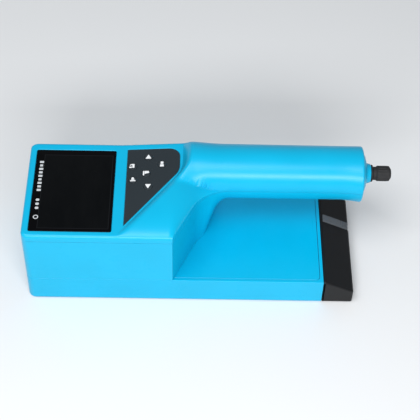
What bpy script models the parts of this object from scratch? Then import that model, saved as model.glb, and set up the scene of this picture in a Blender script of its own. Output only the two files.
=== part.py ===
"""Handheld microchip scanner: a screen head, a round handle bridging over a flat antenna base.

Metres, +Z up. The scanner lies face up on its base. The head is at -X, the handle's free end at +X, and the
keys face +Z. Stations along the scanner, called u, are counted from the head's left end.
"""

import math

import bmesh
import bpy
from mathutils import Matrix, Vector

MM = 0.001

# Driving dimensions.
LENGTH = 270 * MM            # left end of the head to the tip of the dust cap
WIDTH = 90 * MM              # head and base, across the scanner
FACE_Z = 74 * MM             # screen and keypad plane
PART_Z = 68 * MM             # seam of the two upper shells, also the height of the handle's axis
BASE_Z = 24 * MM             # flat top of the antenna base
BASE_LENGTH = 220 * MM
WALL = 2.4 * MM
GAP = 0.3 * MM
LAND = 0.8 * MM              # straight edge next to the seam
EDGE_RADIUS = 2.5 * MM
CORNER_RADIUS = 5.5 * MM
LEAN_START = 69 * MM         # from here to the neck the face leans up by LEAN, rise over run
LEAN = 0.075

# Handle and neck.
HANDLE_END = 248 * MM
HANDLE_RADIUS_NECK = 20.0 * MM
HANDLE_RADIUS_END = 19.8 * MM
NECK_START = 108 * MM
NECK_ANGLE = math.radians(65)
NECK_FILLET = 29 * MM
HANDLE_AXIS_Y = WIDTH / 2 - HANDLE_RADIUS_NECK
SLANT_RISE = WIDTH - 2 * HANDLE_RADIUS_NECK - NECK_FILLET * (1 - math.cos(NECK_ANGLE))
SLANT_END = NECK_START + SLANT_RISE / math.tan(NECK_ANGLE)
NECK_END = SLANT_END + NECK_FILLET * math.sin(NECK_ANGLE)
NECK_RISE = 8 * MM           # how quickly the handle's crest climbs out of the face
NECK_FADE = 38 * MM          # length over which the web beside the handle dies away
NECK_BLEND = 4 * MM
WEB_HEIGHT = 10.5 * MM
WEB_POWER = 2.6
FLARE_LENGTH = 14 * MM
FLARE = 1.6 * MM

# Screen window.
WINDOW_LEFT, WINDOW_RIGHT = 5 * MM, 64.6 * MM
WINDOW_NEAR, WINDOW_FAR = -40 * MM, 38 * MM
WINDOW_LEDGE = 3 * MM
WINDOW_DEPTH = 1.5 * MM
WINDOW_THICKNESS = 1.1 * MM
SKIN_STEP = 0.1 * MM         # how far glass and keypad sit below the face

# Keypad: a five-sided shield with a straight left side and a slanted right side.
KEYPAD_LEFT, KEYPAD_RIGHT = 73 * MM, 112 * MM
KEYPAD_FAR, KEYPAD_SHOULDER, KEYPAD_TIP = 38.8 * MM, 17 * MM, -33.5 * MM
KEYPAD_DEPTH = 1.2 * MM
KEYPAD_THICKNESS = 0.8 * MM
KEY_RADIUS = 3.2 * MM
KEY_FLANGE_RADIUS = 4.3 * MM
KEY_PROUD = 0.5 * MM
KEY_TRAVEL = 0.8 * MM
KEYS = {
    "key_up": (88.6 * MM, 30.7 * MM),
    "key_enter": (87.3 * MM, 14.6 * MM),
    "key_down": (89.1 * MM, 2.0 * MM),
    "key_back": (77.2 * MM, 21.9 * MM),
    "key_light": (77.8 * MM, 8.7 * MM),
    "key_power": (98.8 * MM, 23.1 * MM),
}

# Charging end.
SOCKET_RADIUS = 3.4 * MM
BOSS_RADIUS = 7.6 * MM
BOSS_END = 254.5 * MM
PLUG_RADIUS = 15.2 * MM
CAP_RADIUS = 5.8 * MM

# Battery end.
DOOR_LENGTH = 23 * MM
DOOR_LIP = 2.5 * MM           # level edge before the slope
DOOR_TOE_Z = 14 * MM
DOOR_TOE_BACK = 1.6 * MM
BATTERY_LENGTH, BATTERY_WIDTH, BATTERY_HEIGHT = 66 * MM, 56 * MM, 15.5 * MM
LATCH_Y = 17 * MM
LATCH_WIDTH = 6.4 * MM
LATCH_PIN_RADIUS = 0.8 * MM
LATCH_PIN_SLACK = 0.05 * MM
LATCH_BACK, LATCH_FRONT = -11.6 * MM, 10.3 * MM   # its ends, along the slope from the pin

# Screws.
SCREW_RADIUS = 1.5 * MM
SCREW_HEAD_RADIUS = 2.9 * MM
SCREW_HEAD_HEIGHT = 2.2 * MM
POST_RADIUS = 4.0 * MM
CASE_SCREWS = tuple((u * MM, y * MM) for u in (5.6, 104) for y in (39.4, -39.4))
COVER_SCREWS = tuple((190 * MM, y * MM) for y in (37, -37))
HANDLE_SCREWS = (168 * MM, 226 * MM)


def x_of(u):
    """World X of a station counted from the head's left end."""
    return u - LENGTH / 2


# Meshes and Booleans.


def material(name, colour, roughness, metallic=0.0):
    made = bpy.data.materials.get(name)
    if made:
        return made
    made = bpy.data.materials.new(name)
    made.use_nodes = True
    shader = made.node_tree.nodes["Principled BSDF"]
    shader.inputs["Base Color"].default_value = (*colour, 1.0)
    shader.inputs["Roughness"].default_value = roughness
    shader.inputs["Metallic"].default_value = metallic
    return made


def shell_plastic():
    return material("shell_plastic", (0.0, 0.46, 0.79), 0.32)


def black_plastic():
    return material("black_plastic", (0.018, 0.02, 0.022), 0.5)


def grey_plastic():
    return material("grey_plastic", (0.16, 0.17, 0.18), 0.45)


def keypad_film():
    return material("keypad_film", (0.026, 0.034, 0.042), 0.6)


def soft_rubber():
    return material("soft_rubber", (0.02, 0.02, 0.022), 0.8)


def window_glass():
    return material("window_glass", (0.003, 0.004, 0.005), 0.08)


def board_laminate():
    return material("board_laminate", (0.02, 0.16, 0.06), 0.45)


def steel():
    return material("steel", (0.55, 0.55, 0.56), 0.3, 1.0)


def copper():
    return material("copper", (0.72, 0.33, 0.16), 0.35, 1.0)


def gold():
    return material("contact_plating", (0.78, 0.58, 0.24), 0.3, 1.0)


def ferrite():
    return material("ferrite", (0.06, 0.06, 0.065), 0.7)


def finish(name, graph, look):
    """Puts a bmesh into the scene as one named object, shaded smooth across its round faces."""
    bmesh.ops.recalc_face_normals(graph, faces=graph.faces)
    mesh = bpy.data.meshes.new(name)
    graph.to_mesh(mesh)
    graph.free()
    mesh.shade_smooth()
    mesh.set_sharp_from_angle(angle=math.radians(35))
    obj = bpy.data.objects.new(name, mesh)
    if look:
        mesh.materials.append(look)
    bpy.context.scene.collection.objects.link(obj)
    return obj


def apply_modifiers(obj):
    graph = bpy.context.evaluated_depsgraph_get()
    old = obj.data
    mesh = bpy.data.meshes.new_from_object(obj.evaluated_get(graph))
    obj.modifiers.clear()
    obj.data = mesh
    bpy.data.meshes.remove(old)
    mesh.name = obj.name


def combine(target, tools, operation):
    """Applies one Boolean per tool to the target and removes the tools."""
    for tool in tools:
        modifier = target.modifiers.new(operation.lower(), "BOOLEAN")
        modifier.operation = operation
        modifier.solver = "EXACT"
        modifier.object = tool
        bpy.context.view_layer.update()
        apply_modifiers(target)
        bpy.data.objects.remove(tool)
    target.data.shade_smooth()
    target.data.set_sharp_from_angle(angle=math.radians(35))
    return target


def cut(target, *tools):
    return combine(target, tools, "DIFFERENCE")


def join(target, *tools):
    return combine(target, tools, "UNION")


def round_edges(obj, width, segments=2, angle=35):
    modifier = obj.modifiers.new("round", "BEVEL")
    modifier.width = width
    modifier.segments = segments
    modifier.limit_method = "ANGLE"
    modifier.angle_limit = math.radians(angle)
    bpy.context.view_layer.update()
    apply_modifiers(obj)
    obj.data.shade_smooth()
    obj.data.set_sharp_from_angle(angle=math.radians(35))
    return obj


def put_origin(obj, point):
    """Moves the object's origin to a world point and leaves its shape where it is."""
    obj.data.transform(Matrix.Translation(-Vector(point)))
    obj.location = point
    return obj


def prism(name, outline, low, high, look=None):
    """Extrudes a closed XY outline from height low to height high."""
    graph = bmesh.new()
    base = graph.faces.new([graph.verts.new((x, y, low)) for x, y in outline])
    raised = bmesh.ops.extrude_face_region(graph, geom=[base])["geom"]
    tops = [item for item in raised if isinstance(item, bmesh.types.BMVert)]
    bmesh.ops.translate(graph, verts=tops, vec=(0, 0, high - low))
    return finish(name, graph, look)


def side_prism(name, outline, near, far, look=None):
    """Extrudes a closed XZ outline across the scanner, from Y near to Y far."""
    graph = bmesh.new()
    base = graph.faces.new([graph.verts.new((x, near, z)) for x, z in outline])
    raised = bmesh.ops.extrude_face_region(graph, geom=[base])["geom"]
    fars = [item for item in raised if isinstance(item, bmesh.types.BMVert)]
    bmesh.ops.translate(graph, verts=fars, vec=(0, far - near, 0))
    return finish(name, graph, look)


def box(name, low, high, look=None):
    outline = ((low[0], low[1]), (high[0], low[1]), (high[0], high[1]), (low[0], high[1]))
    return prism(name, outline, low[2], high[2], look)


def arc(centre, radius, start, end, steps):
    """Points along an arc, angles in degrees."""
    turns = [math.radians(start + (end - start) * i / steps) for i in range(steps + 1)]
    return [(centre[0] + radius * math.cos(a), centre[1] + radius * math.sin(a)) for a in turns]


def rounded_rectangle(left, right, near, far, radius, steps=4):
    corners = (
        ((right - radius, far - radius), 0),
        ((left + radius, far - radius), 90),
        ((left + radius, near + radius), 180),
        ((right - radius, near + radius), 270),
    )
    return [point for centre, turn in corners for point in arc(centre, radius, turn, turn + 90, steps)]


def rounded_box(name, low, high, radius, look=None, steps=4):
    outline = rounded_rectangle(low[0], high[0], low[1], high[1], radius, steps)
    return prism(name, outline, low[2], high[2], look)


def turned(name, profile, centre, axis, look=None, segments=16):
    """Turns a profile of (distance along the axis, radius) about an axis. It starts and ends at radius 0."""
    graph = bmesh.new()
    direction = Vector(axis).normalized()
    side = direction.orthogonal().normalized()
    other = direction.cross(side)
    rings = []
    for along, radius in profile:
        middle = Vector(centre) + direction * along
        if radius == 0:
            rings.append([graph.verts.new(middle)])
            continue
        turns = [2 * math.pi * i / segments for i in range(segments)]
        spokes = [side * math.cos(a) + other * math.sin(a) for a in turns]
        rings.append([graph.verts.new(middle + radius * spoke) for spoke in spokes])
    for ring, following in zip(rings, rings[1:]):
        for i in range(segments):
            corners = [ring[i % len(ring)], ring[(i + 1) % len(ring)]]
            corners += [following[(i + 1) % len(following)], following[i % len(following)]]
            graph.faces.new(list(dict.fromkeys(corners)))
    return finish(name, graph, look)


def rod(name, start, end, radius, look=None, segments=16):
    along = Vector(end) - Vector(start)
    profile = ((0, 0), (0, radius), (along.length, radius), (along.length, 0))
    return turned(name, profile, start, along, look, segments)


def lead(name, points, radius, look):
    """A wire or tube along a smooth curve through the points."""
    curve = bpy.data.curves.new(name, "CURVE")
    curve.dimensions = "3D"
    curve.bevel_depth = radius
    curve.bevel_resolution = 1
    curve.resolution_u = 5
    curve.use_fill_caps = True
    spline = curve.splines.new("BEZIER")
    spline.bezier_points.add(len(points) - 1)
    for knot, point in zip(spline.bezier_points, points):
        knot.co = point
        knot.handle_left_type = "AUTO"
        knot.handle_right_type = "AUTO"
    obj = bpy.data.objects.new(name, curve)
    curve.materials.append(look)
    bpy.context.scene.collection.objects.link(obj)
    return obj


# The outline of head, neck and handle, and the surfaces above and below the seam.


def ease(value):
    value = min(max(value, 0.0), 1.0)
    return value * value * (3 - 2 * value)


def soft_max(first, second, blend):
    high = max(first, second)
    return high + blend * math.log(math.exp((first - high) / blend) + math.exp((second - high) / blend))


def handle_radius(u):
    share = min(max((u - NECK_END) / (HANDLE_END - NECK_END), 0.0), 1.0)
    return HANDLE_RADIUS_NECK + share * (HANDLE_RADIUS_END - HANDLE_RADIUS_NECK)


def flare(u):
    return FLARE * ease((u - HANDLE_END + FLARE_LENGTH) / FLARE_LENGTH)


def lean(u):
    """How far the keypad's part of the face rises toward the neck."""
    return LEAN * max(u - LEAN_START, 0.0)


def tilt(obj):
    """Shears an object up with the leaning face. Its upright walls stay upright."""
    for vert in obj.data.vertices:
        vert.co.z += lean(vert.co.x + LENGTH / 2)
    return obj


def corner_loss(u):
    """How much narrower the head is, each side, inside its rounded left corners."""
    rest = CORNER_RADIUS - max(u, 0.0)
    if rest <= 0:
        return 0.0
    return CORNER_RADIUS - math.sqrt(CORNER_RADIUS ** 2 - rest ** 2)


def far_edge(u):
    if u < NECK_START:
        return WIDTH / 2 - corner_loss(u)
    return HANDLE_AXIS_Y + handle_radius(u)


def near_edge(u):
    """Straight along the head, then a slant and a fillet up to the handle's near side."""
    if u < NECK_START:
        return -WIDTH / 2 + corner_loss(u)
    if u < SLANT_END:
        return -WIDTH / 2 + (u - NECK_START) * math.tan(NECK_ANGLE)
    if u < NECK_END:
        centre_y = HANDLE_AXIS_Y - HANDLE_RADIUS_NECK - NECK_FILLET
        return centre_y + math.sqrt(NECK_FILLET ** 2 - (NECK_END - u) ** 2)
    return HANDLE_AXIS_Y - handle_radius(u) - flare(u)


def crease(y):
    """The station where the neck starts to rise: right of the keypad, then along its slanted side."""
    beside = KEYPAD_RIGHT + 2.2 * MM
    slope = (KEYPAD_RIGHT - KEYPAD_LEFT) / (KEYPAD_SHOULDER - KEYPAD_TIP)
    along_slant = beside + (y - KEYPAD_SHOULDER) * slope
    return -soft_max(-beside, -along_slant, 2 * MM)


def edge_drop(distance, radius):
    """How far a rounded edge lies below the face at this distance from the side."""
    if distance >= radius:
        return 0.0
    return radius - math.sqrt(radius ** 2 - (radius - max(distance, 0.0)) ** 2)


def top_height(u, y, inset):
    """Height of the upper shell's surface, or of its hollow where inset is the wall."""
    far, near = far_edge(u) - inset, near_edge(u) + inset
    face = FACE_Z + lean(u) - inset
    radius = max(EDGE_RADIUS - inset, 0.3 * MM)
    side = min(far - y, y - near, u - inset)
    flat = face - edge_drop(side, radius)
    past_crease = u - crease(y) - 2 * inset
    if past_crease <= 0:
        return flat
    fading = 1 - ease((u - NECK_START) / NECK_FADE)
    across = min(abs((2 * y - far - near) / (far - near)), 1.0)
    web = (WEB_HEIGHT - inset) * (1 - across ** WEB_POWER) ** (1 / WEB_POWER)
    bar_far = HANDLE_AXIS_Y + handle_radius(u) - inset
    bar_near = HANDLE_AXIS_Y - handle_radius(u) - flare(u) + inset
    bar_across = (2 * y - bar_far - bar_near) / (bar_far - bar_near)
    openness = ease((HANDLE_AXIS_Y - HANDLE_RADIUS_NECK + inset - near) / (20 * MM))
    squarer = -0.16 * fading if bar_across > 0 else 0.12 * openness
    bar_rise = max(1 - bar_across ** 2, 0.0) ** (0.5 + squarer)
    bar = (handle_radius(u) + flare(u) / 3 - inset - LAND) * bar_rise
    raised = PART_Z + LAND + bar + fading * (soft_max(web, bar, NECK_BLEND) - bar)
    share = math.sin(math.pi / 2 * min(past_crease / NECK_RISE, 1.0))
    return flat + (raised - flat) * share


def upper_column(share, inset, end, neck_steps):
    """Plan points from left end to handle's end, this share of the way from the far side to the near one."""
    half = WIDTH / 2 - inset
    start_y = half - 2 * half * share
    turn = crease(start_y)
    last_turn = crease(-half)
    points = []
    head = [inset + (turn - inset) * part for part in (0.0, 0.006, 0.016, 0.032, 0.06)]
    for u in head + [min(LEAN_START, 0.92 * turn)]:
        far, near = far_edge(u) - inset, near_edge(u) + inset
        points.append((u, far - share * (far - near)))
    end_far, end_near = far_edge(NECK_END) - inset, near_edge(NECK_END) + inset
    end_y = end_far - share * (end_far - end_near)
    for i in range(neck_steps + 1):
        part = (i / neck_steps) ** 1.15
        outline = near_edge(last_turn + (NECK_END - last_turn) * part) + inset
        following = (outline + half) / (end_near + half)
        drawn_in = ease(part) * (1 - share ** 3) + following * share ** 3
        points.append((turn + (NECK_END - turn) * part, start_y + (end_y - start_y) * drawn_in))
    for u in (178 * MM, 206 * MM, HANDLE_END - FLARE_LENGTH, 238 * MM, 241 * MM, 244 * MM, end):
        far, near = far_edge(u) - inset, near_edge(u) + inset
        points.append((u, far - share * (far - near)))
    return points


def close_shell(name, rows, floor_z, look=None):
    """Closes a grid of surface points with straight sides and a flat bottom at floor_z."""
    graph = bmesh.new()
    grid = [[graph.verts.new(point) for point in row] for row in rows]
    for row, following in zip(grid, grid[1:]):
        for i in range(len(row) - 1):
            graph.faces.new((row[i], row[i + 1], following[i + 1], following[i]))
    rim = grid[0] + [row[-1] for row in grid[1:]] + grid[-1][-2::-1] + [row[0] for row in grid[-2:0:-1]]
    feet = [graph.verts.new((vert.co.x, vert.co.y, floor_z)) for vert in rim]
    count = len(rim)
    for i in range(count):
        graph.faces.new((rim[i], rim[(i + 1) % count], feet[(i + 1) % count], feet[i]))
    graph.faces.new(feet)
    return finish(name, graph, look)


def upper_solid(name, inset, floor_z, end, across_steps, neck_steps, look=None):
    """Everything above the seam. The grid's lines run along the crease and along both sides."""
    columns = []
    for j in range(across_steps + 1):
        share = 0.5 - 0.5 * math.cos(math.pi * j / across_steps)
        plan = upper_column(share, inset, end, neck_steps)
        columns.append([(x_of(u), y, top_height(u, y, inset)) for u, y in plan])
    return close_shell(name, columns, floor_z, look)


def lower_solid(name, inset, top_z, end, around_steps, look=None):
    """The head's walls and the handle's lower half: its sections turn from square to round."""
    wall_end, handle_start = 120 * MM - inset, 148 * MM
    head = [inset + (CORNER_RADIUS - inset) * (1 - math.cos(math.pi / 2 * i / 4)) for i in range(5)]
    head += [60 * MM, 104 * MM, NECK_START]
    neck = [NECK_START + (handle_start + 6 * MM - NECK_START) * i / 18 for i in range(1, 19)]
    grip = [180 * MM, 210 * MM, HANDLE_END - FLARE_LENGTH, HANDLE_END - 10 * MM, HANDLE_END - 6 * MM]
    grip += [HANDLE_END - 3 * MM, end]
    rows = []
    for u in head + neck + grip:
        share = ease((u - wall_end) / (handle_start - wall_end))
        power = 2 + 28 * (1 - share) ** 3
        deep = (FACE_Z * 0.85 - inset) * (1 - share) + (handle_radius(u) + flare(u) - inset) * share
        far = far_edge(u) - inset
        near = near_edge(u) + inset
        row = []
        for i in range(around_steps + 1):
            turn = math.pi * i / around_steps
            cosine, sine = math.cos(turn), max(math.sin(turn), 0.0)
            y = (far + near) / 2 + (far - near) / 2 * math.copysign(abs(cosine) ** (2 / power), cosine)
            row.append((x_of(u), y, PART_Z - LAND - (deep - LAND) * sine ** (2 / power)))
        rows.append(row)
    return close_shell(name, rows, top_z, look)


# Shells.


def tower(name, u, y, low, high, radius, look=None):
    return rod(name, (x_of(u), y, low), (x_of(u), y, high), radius, look)


def blind_boss(u, y, low, high, depth):
    """A boss with a blind screw hole in its lower end."""
    hole = SCREW_RADIUS + GAP
    profile = [(low + depth, 0), (low + depth, hole), (low, hole)]
    profile += [(low, POST_RADIUS), (high, POST_RADIUS), (high, 0)]
    return turned("boss", profile, (x_of(u), y, 0), (0, 0, 1), segments=12)


def screw_way(u, y, low, seat_top, high):
    """Cutter for a screw put in from below: a seat for its head, then a clear hole."""
    seat, hole = SCREW_HEAD_RADIUS + GAP, SCREW_RADIUS + GAP
    profile = [(low, 0), (low, seat), (seat_top, seat), (seat_top, hole), (high, hole), (high, 0)]
    return turned("screw_way", profile, (x_of(u), y, 0), (0, 0, 1), segments=12)


def keypad_outline(grow, steps=5):
    """Left side and tip sharp, far right corner and shoulder rounded."""
    left, right = x_of(KEYPAD_LEFT) - grow, x_of(KEYPAD_RIGHT) + grow
    far = KEYPAD_FAR + grow
    slant = math.atan2(KEYPAD_SHOULDER - KEYPAD_TIP, KEYPAD_RIGHT - KEYPAD_LEFT)
    corner, shoulder = 8 * MM + grow, 14 * MM + grow
    turn_down = math.degrees(slant)
    # The shoulder's arc starts on the right side and ends where the slanted side begins.
    shoulder_y = KEYPAD_SHOULDER + (shoulder - grow) * math.tan((math.pi / 2 - slant) / 2)
    points = [(left, far)]
    points += arc((right - corner, far - corner), corner, 90, 0, steps)
    points += arc((right - shoulder, shoulder_y), shoulder, 0, turn_down - 90, steps)
    tip_y = KEYPAD_TIP - grow * (1 / math.cos(slant) + math.tan(slant))
    points += [(left, tip_y)]
    return points


def make_top_shell():
    shell = upper_solid("top_shell", 0.0, PART_Z, HANDLE_END, 22, 20, shell_plastic())
    cut(shell, upper_solid("hollow", WALL, PART_Z - 1 * MM, HANDLE_END - WALL, 12, 11))
    for u, y in CASE_SCREWS:
        join(shell, blind_boss(u, y, PART_Z, PART_Z + 4.3 * MM, 3.4 * MM))
    for u in HANDLE_SCREWS:
        join(shell, blind_boss(u, HANDLE_AXIS_Y, PART_Z, PART_Z + 18.4 * MM, 9 * MM))
    left, right = x_of(WINDOW_LEFT), x_of(WINDOW_RIGHT)
    pocket = rounded_box(
        "pocket", (left, WINDOW_NEAR, FACE_Z - WINDOW_DEPTH), (right, WINDOW_FAR, FACE_Z + 1 * MM), 1.5 * MM
    )
    opening = rounded_box(
        "opening",
        (left + WINDOW_LEDGE, WINDOW_NEAR + WINDOW_LEDGE, PART_Z - 1 * MM),
        (right - WINDOW_LEDGE, WINDOW_FAR - WINDOW_LEDGE, FACE_Z + 1 * MM),
        1.5 * MM,
    )
    recess = prism("recess", keypad_outline(GAP), FACE_Z - KEYPAD_DEPTH, FACE_Z + 3 * MM)
    cut(shell, pocket, opening, tilt(recess))
    for u, y in KEYS.values():
        cut(shell, tower("key_hole", u, y, PART_Z - 1 * MM, FACE_Z + 5 * MM, KEY_RADIUS + GAP))
    cut(shell, end_bore())
    return shell


def end_bore():
    """The round hole in the handle's end that both upper shells share."""
    start = (x_of(HANDLE_END - 2 * WALL), HANDLE_AXIS_Y, PART_Z)
    end = (x_of(HANDLE_END + WALL), HANDLE_AXIS_Y, PART_Z)
    return rod("end_bore", start, end, PLUG_RADIUS + GAP, segments=24)


def make_body_shell():
    shell = lower_solid("body_shell", 0.0, PART_Z - GAP, HANDLE_END, 16, shell_plastic())
    hollow = lower_solid("hollow", WALL, PART_Z + 1 * MM, HANDLE_END - WALL, 10)
    below = box("below", (x_of(-5 * MM), -WIDTH, -20 * MM), (x_of(LENGTH), WIDTH, BASE_Z + GAP))
    cut(shell, hollow, below)
    for u, y in CASE_SCREWS:
        join(shell, tower("post", u, y, BASE_Z + GAP, PART_Z - GAP, POST_RADIUS))
        cut(shell, tower("bore", u, y, 0, PART_Z + 1 * MM, SCREW_RADIUS + GAP))
    for u in HANDLE_SCREWS:
        bottom = PART_Z - handle_radius(u)
        join(shell, tower("post", u, HANDLE_AXIS_Y, bottom + 1 * MM, PART_Z - GAP, POST_RADIUS))
        seat_top = bottom + SCREW_HEAD_HEIGHT + 2 * GAP
        cut(shell, screw_way(u, HANDLE_AXIS_Y, bottom - 2 * MM, seat_top, PART_Z + 1 * MM))
    cut(shell, end_bore())
    return shell


def make_base_tray():
    """The base's floor and walls, up to the flat top."""
    left, right = x_of(0), x_of(BASE_LENGTH)
    outline = arc((left + CORNER_RADIUS, WIDTH / 2 - CORNER_RADIUS), CORNER_RADIUS, 90, 180, 4)
    outline += arc((left + CORNER_RADIUS, CORNER_RADIUS - WIDTH / 2), CORNER_RADIUS, 180, 270, 4)
    outline += [(right, -WIDTH / 2), (right, WIDTH / 2)]
    tray = prism("base_tray", outline, 0, BASE_Z, shell_plastic())
    round_bottom_edge(tray)
    inner = rounded_box(
        "inner",
        (left + WALL, WALL - WIDTH / 2, WALL),
        (right - WALL, WIDTH / 2 - WALL, BASE_Z + 1 * MM),
        CORNER_RADIUS - WALL,
    )
    cut(tray, inner)
    bay = BATTERY_WIDTH / 2 + GAP
    mouth_top = WALL + BATTERY_HEIGHT + 2 * GAP
    mouth = box("mouth", (right - 2 * WALL, -bay, WALL), (right + 1 * MM, bay, mouth_top))
    cut(tray, mouth)
    seat_top = SCREW_HEAD_HEIGHT + 2 * GAP
    for u, y in CASE_SCREWS:
        join(tray, tower("post", u, y, WALL / 2, BASE_Z, POST_RADIUS))
        cut(tray, screw_way(u, y, -1 * MM, seat_top, BASE_Z + 1 * MM))
    for u, y in COVER_SCREWS:
        join(tray, tower("post", u, y, WALL / 2, BASE_Z - WALL - 2 * GAP, POST_RADIUS))
        cut(tray, screw_way(u, y, -1 * MM, seat_top, BASE_Z + 1 * MM))
    return tray


def round_bottom_edge(tray):
    """Rounds the tray's lowest outer edge."""
    graph = bmesh.new()
    graph.from_mesh(tray.data)
    low = [edge for edge in graph.edges if all(vert.co.z < 1e-6 for vert in edge.verts)]
    bmesh.ops.bevel(graph, geom=low, offset=1.5 * MM, segments=2, profile=0.5, affect="EDGES")
    graph.to_mesh(tray.data)
    graph.free()


def make_base_cover():
    """The flat lid of the base, flush with the tray's walls."""
    edge = WALL + GAP
    low = (x_of(96 * MM), edge - WIDTH / 2, BASE_Z - WALL)
    high = (x_of(BASE_LENGTH) - edge, WIDTH / 2 - edge, BASE_Z)
    cover = rounded_box("base_cover", low, high, CORNER_RADIUS - WALL, shell_plastic())
    for u, y in COVER_SCREWS:
        cut(cover, tower("pilot", u, y, 0, BASE_Z - 1 * MM, SCREW_RADIUS + GAP))
    for u, y in CASE_SCREWS[2:]:
        cut(cover, tower("way", u, y, 0, BASE_Z + 1 * MM, POST_RADIUS + GAP))
    cable_way = rounded_box(
        "cable_way", (x_of(90 * MM), -12 * MM, 0), (x_of(108 * MM), 12 * MM, BASE_Z + 1 * MM), 3 * MM
    )
    return cut(cover, cable_way)


def make_end_cap():
    """The plug of the handle's end, with the boss around the charging socket."""
    inner = HANDLE_END - WALL - GAP
    profile = [
        (inner - 2 * MM, 0),
        (inner - 2 * MM, PLUG_RADIUS + 1 * MM),
        (inner, PLUG_RADIUS + 1 * MM),
        (inner, PLUG_RADIUS),
        (HANDLE_END + 0.6 * MM, PLUG_RADIUS),
        (HANDLE_END + 1.8 * MM, 13.4 * MM),
        (HANDLE_END + 2.6 * MM, 10.6 * MM),
        (HANDLE_END + 3.0 * MM, BOSS_RADIUS + 0.6 * MM),
        (HANDLE_END + 3.8 * MM, BOSS_RADIUS),
        (BOSS_END, BOSS_RADIUS - 0.8 * MM),
        (BOSS_END, 0),
    ]
    cap = turned("end_cap", profile, (x_of(0), HANDLE_AXIS_Y, PART_Z), (1, 0, 0), shell_plastic(), 24)
    start = (x_of(HANDLE_END - 20 * MM), HANDLE_AXIS_Y, PART_Z)
    end = (x_of(LENGTH), HANDLE_AXIS_Y, PART_Z)
    bore = rod("bore", start, end, SOCKET_RADIUS + GAP)
    return cut(cap, bore)


# Screen.


def make_screen_window():
    top = FACE_Z - SKIN_STEP
    window = rounded_box(
        "screen_window",
        (x_of(WINDOW_LEFT) + GAP, WINDOW_NEAR + GAP, top - WINDOW_THICKNESS),
        (x_of(WINDOW_RIGHT) - GAP, WINDOW_FAR - GAP, top),
        1.2 * MM,
        window_glass(),
    )
    return round_edges(window, 0.2 * MM, 1)


def ring_plate(name, low, high, border, radius, look):
    """A flat frame: a plate with a window."""
    plate = rounded_box(name, low, high, radius, look, 2)
    window = rounded_box(
        "window",
        (low[0] + border, low[1] + border, low[2] - 1 * MM),
        (high[0] - border, high[1] - border, high[2] + 1 * MM),
        radius,
        None,
        2,
    )
    return cut(plate, window)


def make_screen_stack():
    """Dust gasket, steel bezel and display panel, hung under the face."""
    ceiling = FACE_Z - WALL - GAP
    left, right = x_of(WINDOW_LEFT) - 0.6 * MM, x_of(WINDOW_RIGHT) + 0.6 * MM
    near, far = WINDOW_NEAR + 8 * MM, WINDOW_FAR - 8 * MM
    gasket_low = ceiling - 0.8 * MM
    rubber = soft_rubber()
    ring_plate("window_gasket", (left, near, gasket_low), (right, far, ceiling), 3 * MM, 1 * MM, rubber)
    top = gasket_low - GAP
    bezel = ring_plate("lcd_bezel", (left, near, top - 4 * MM), (right, far, top), 2.4 * MM, 1 * MM, steel())
    inner = 1.1 * MM
    hollow = box(
        "hollow", (left + inner, near + inner, top - 5 * MM), (right - inner, far - inner, top - inner / 2)
    )
    cut(bezel, hollow)
    edge = inner + GAP
    rounded_box(
        "lcd_panel",
        (left + edge, near + edge, top - 3.6 * MM),
        (right - edge, far - edge, top - inner / 2 - GAP),
        0.8 * MM,
        window_glass(),
        2,
    )


# Keypad.


def make_keypad_overlay():
    top = FACE_Z - SKIN_STEP
    overlay = prism("keypad_overlay", keypad_outline(0), top - KEYPAD_THICKNESS, top, keypad_film())
    for u, y in KEYS.values():
        cut(overlay, tower("hole", u, y, top - 2 * MM, top + 1 * MM, KEY_RADIUS + GAP))
    return tilt(overlay)


def make_key(name, u, y):
    """A round rubber key with a domed top and a flange that holds it under the face."""
    top = FACE_Z - SKIN_STEP + KEY_PROUD
    ceiling = FACE_Z - WALL - GAP
    profile = [
        (ceiling - 1 * MM, 0),
        (ceiling - 1 * MM, KEY_FLANGE_RADIUS),
        (ceiling, KEY_FLANGE_RADIUS),
        (ceiling, KEY_RADIUS),
        (top - 0.3 * MM, KEY_RADIUS),
        (top, KEY_RADIUS - 0.5 * MM),
        (top + 0.1 * MM, 0),
    ]
    key = turned(name, profile, (x_of(u), y, 0), (0, 0, 1), keypad_film())
    return put_origin(tilt(key), (x_of(u), y, top + lean(u)))


def make_key_support():
    """The dome sheet under the keys and the board that carries it."""
    low = FACE_Z - WALL - GAP - 1 * MM - KEY_TRAVEL - GAP
    left, right = x_of(70.5 * MM), x_of(106 * MM)
    near, far = -6 * MM, 41 * MM
    sheet_low = low - 0.6 * MM
    sheet = rounded_box("dome_sheet", (left, near, sheet_low), (right, far, low), 2 * MM, soft_rubber(), 2)
    top = sheet_low - GAP
    laminate = board_laminate()
    board = rounded_box("keypad_board", (left, near, top - 1.2 * MM), (right, far, top), 2 * MM, laminate, 2)
    for flat in (sheet, board):
        tilt(cut(flat, tower("way", *CASE_SCREWS[2], 0, FACE_Z, POST_RADIUS + 2 * GAP)))


# Electronics.


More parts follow.
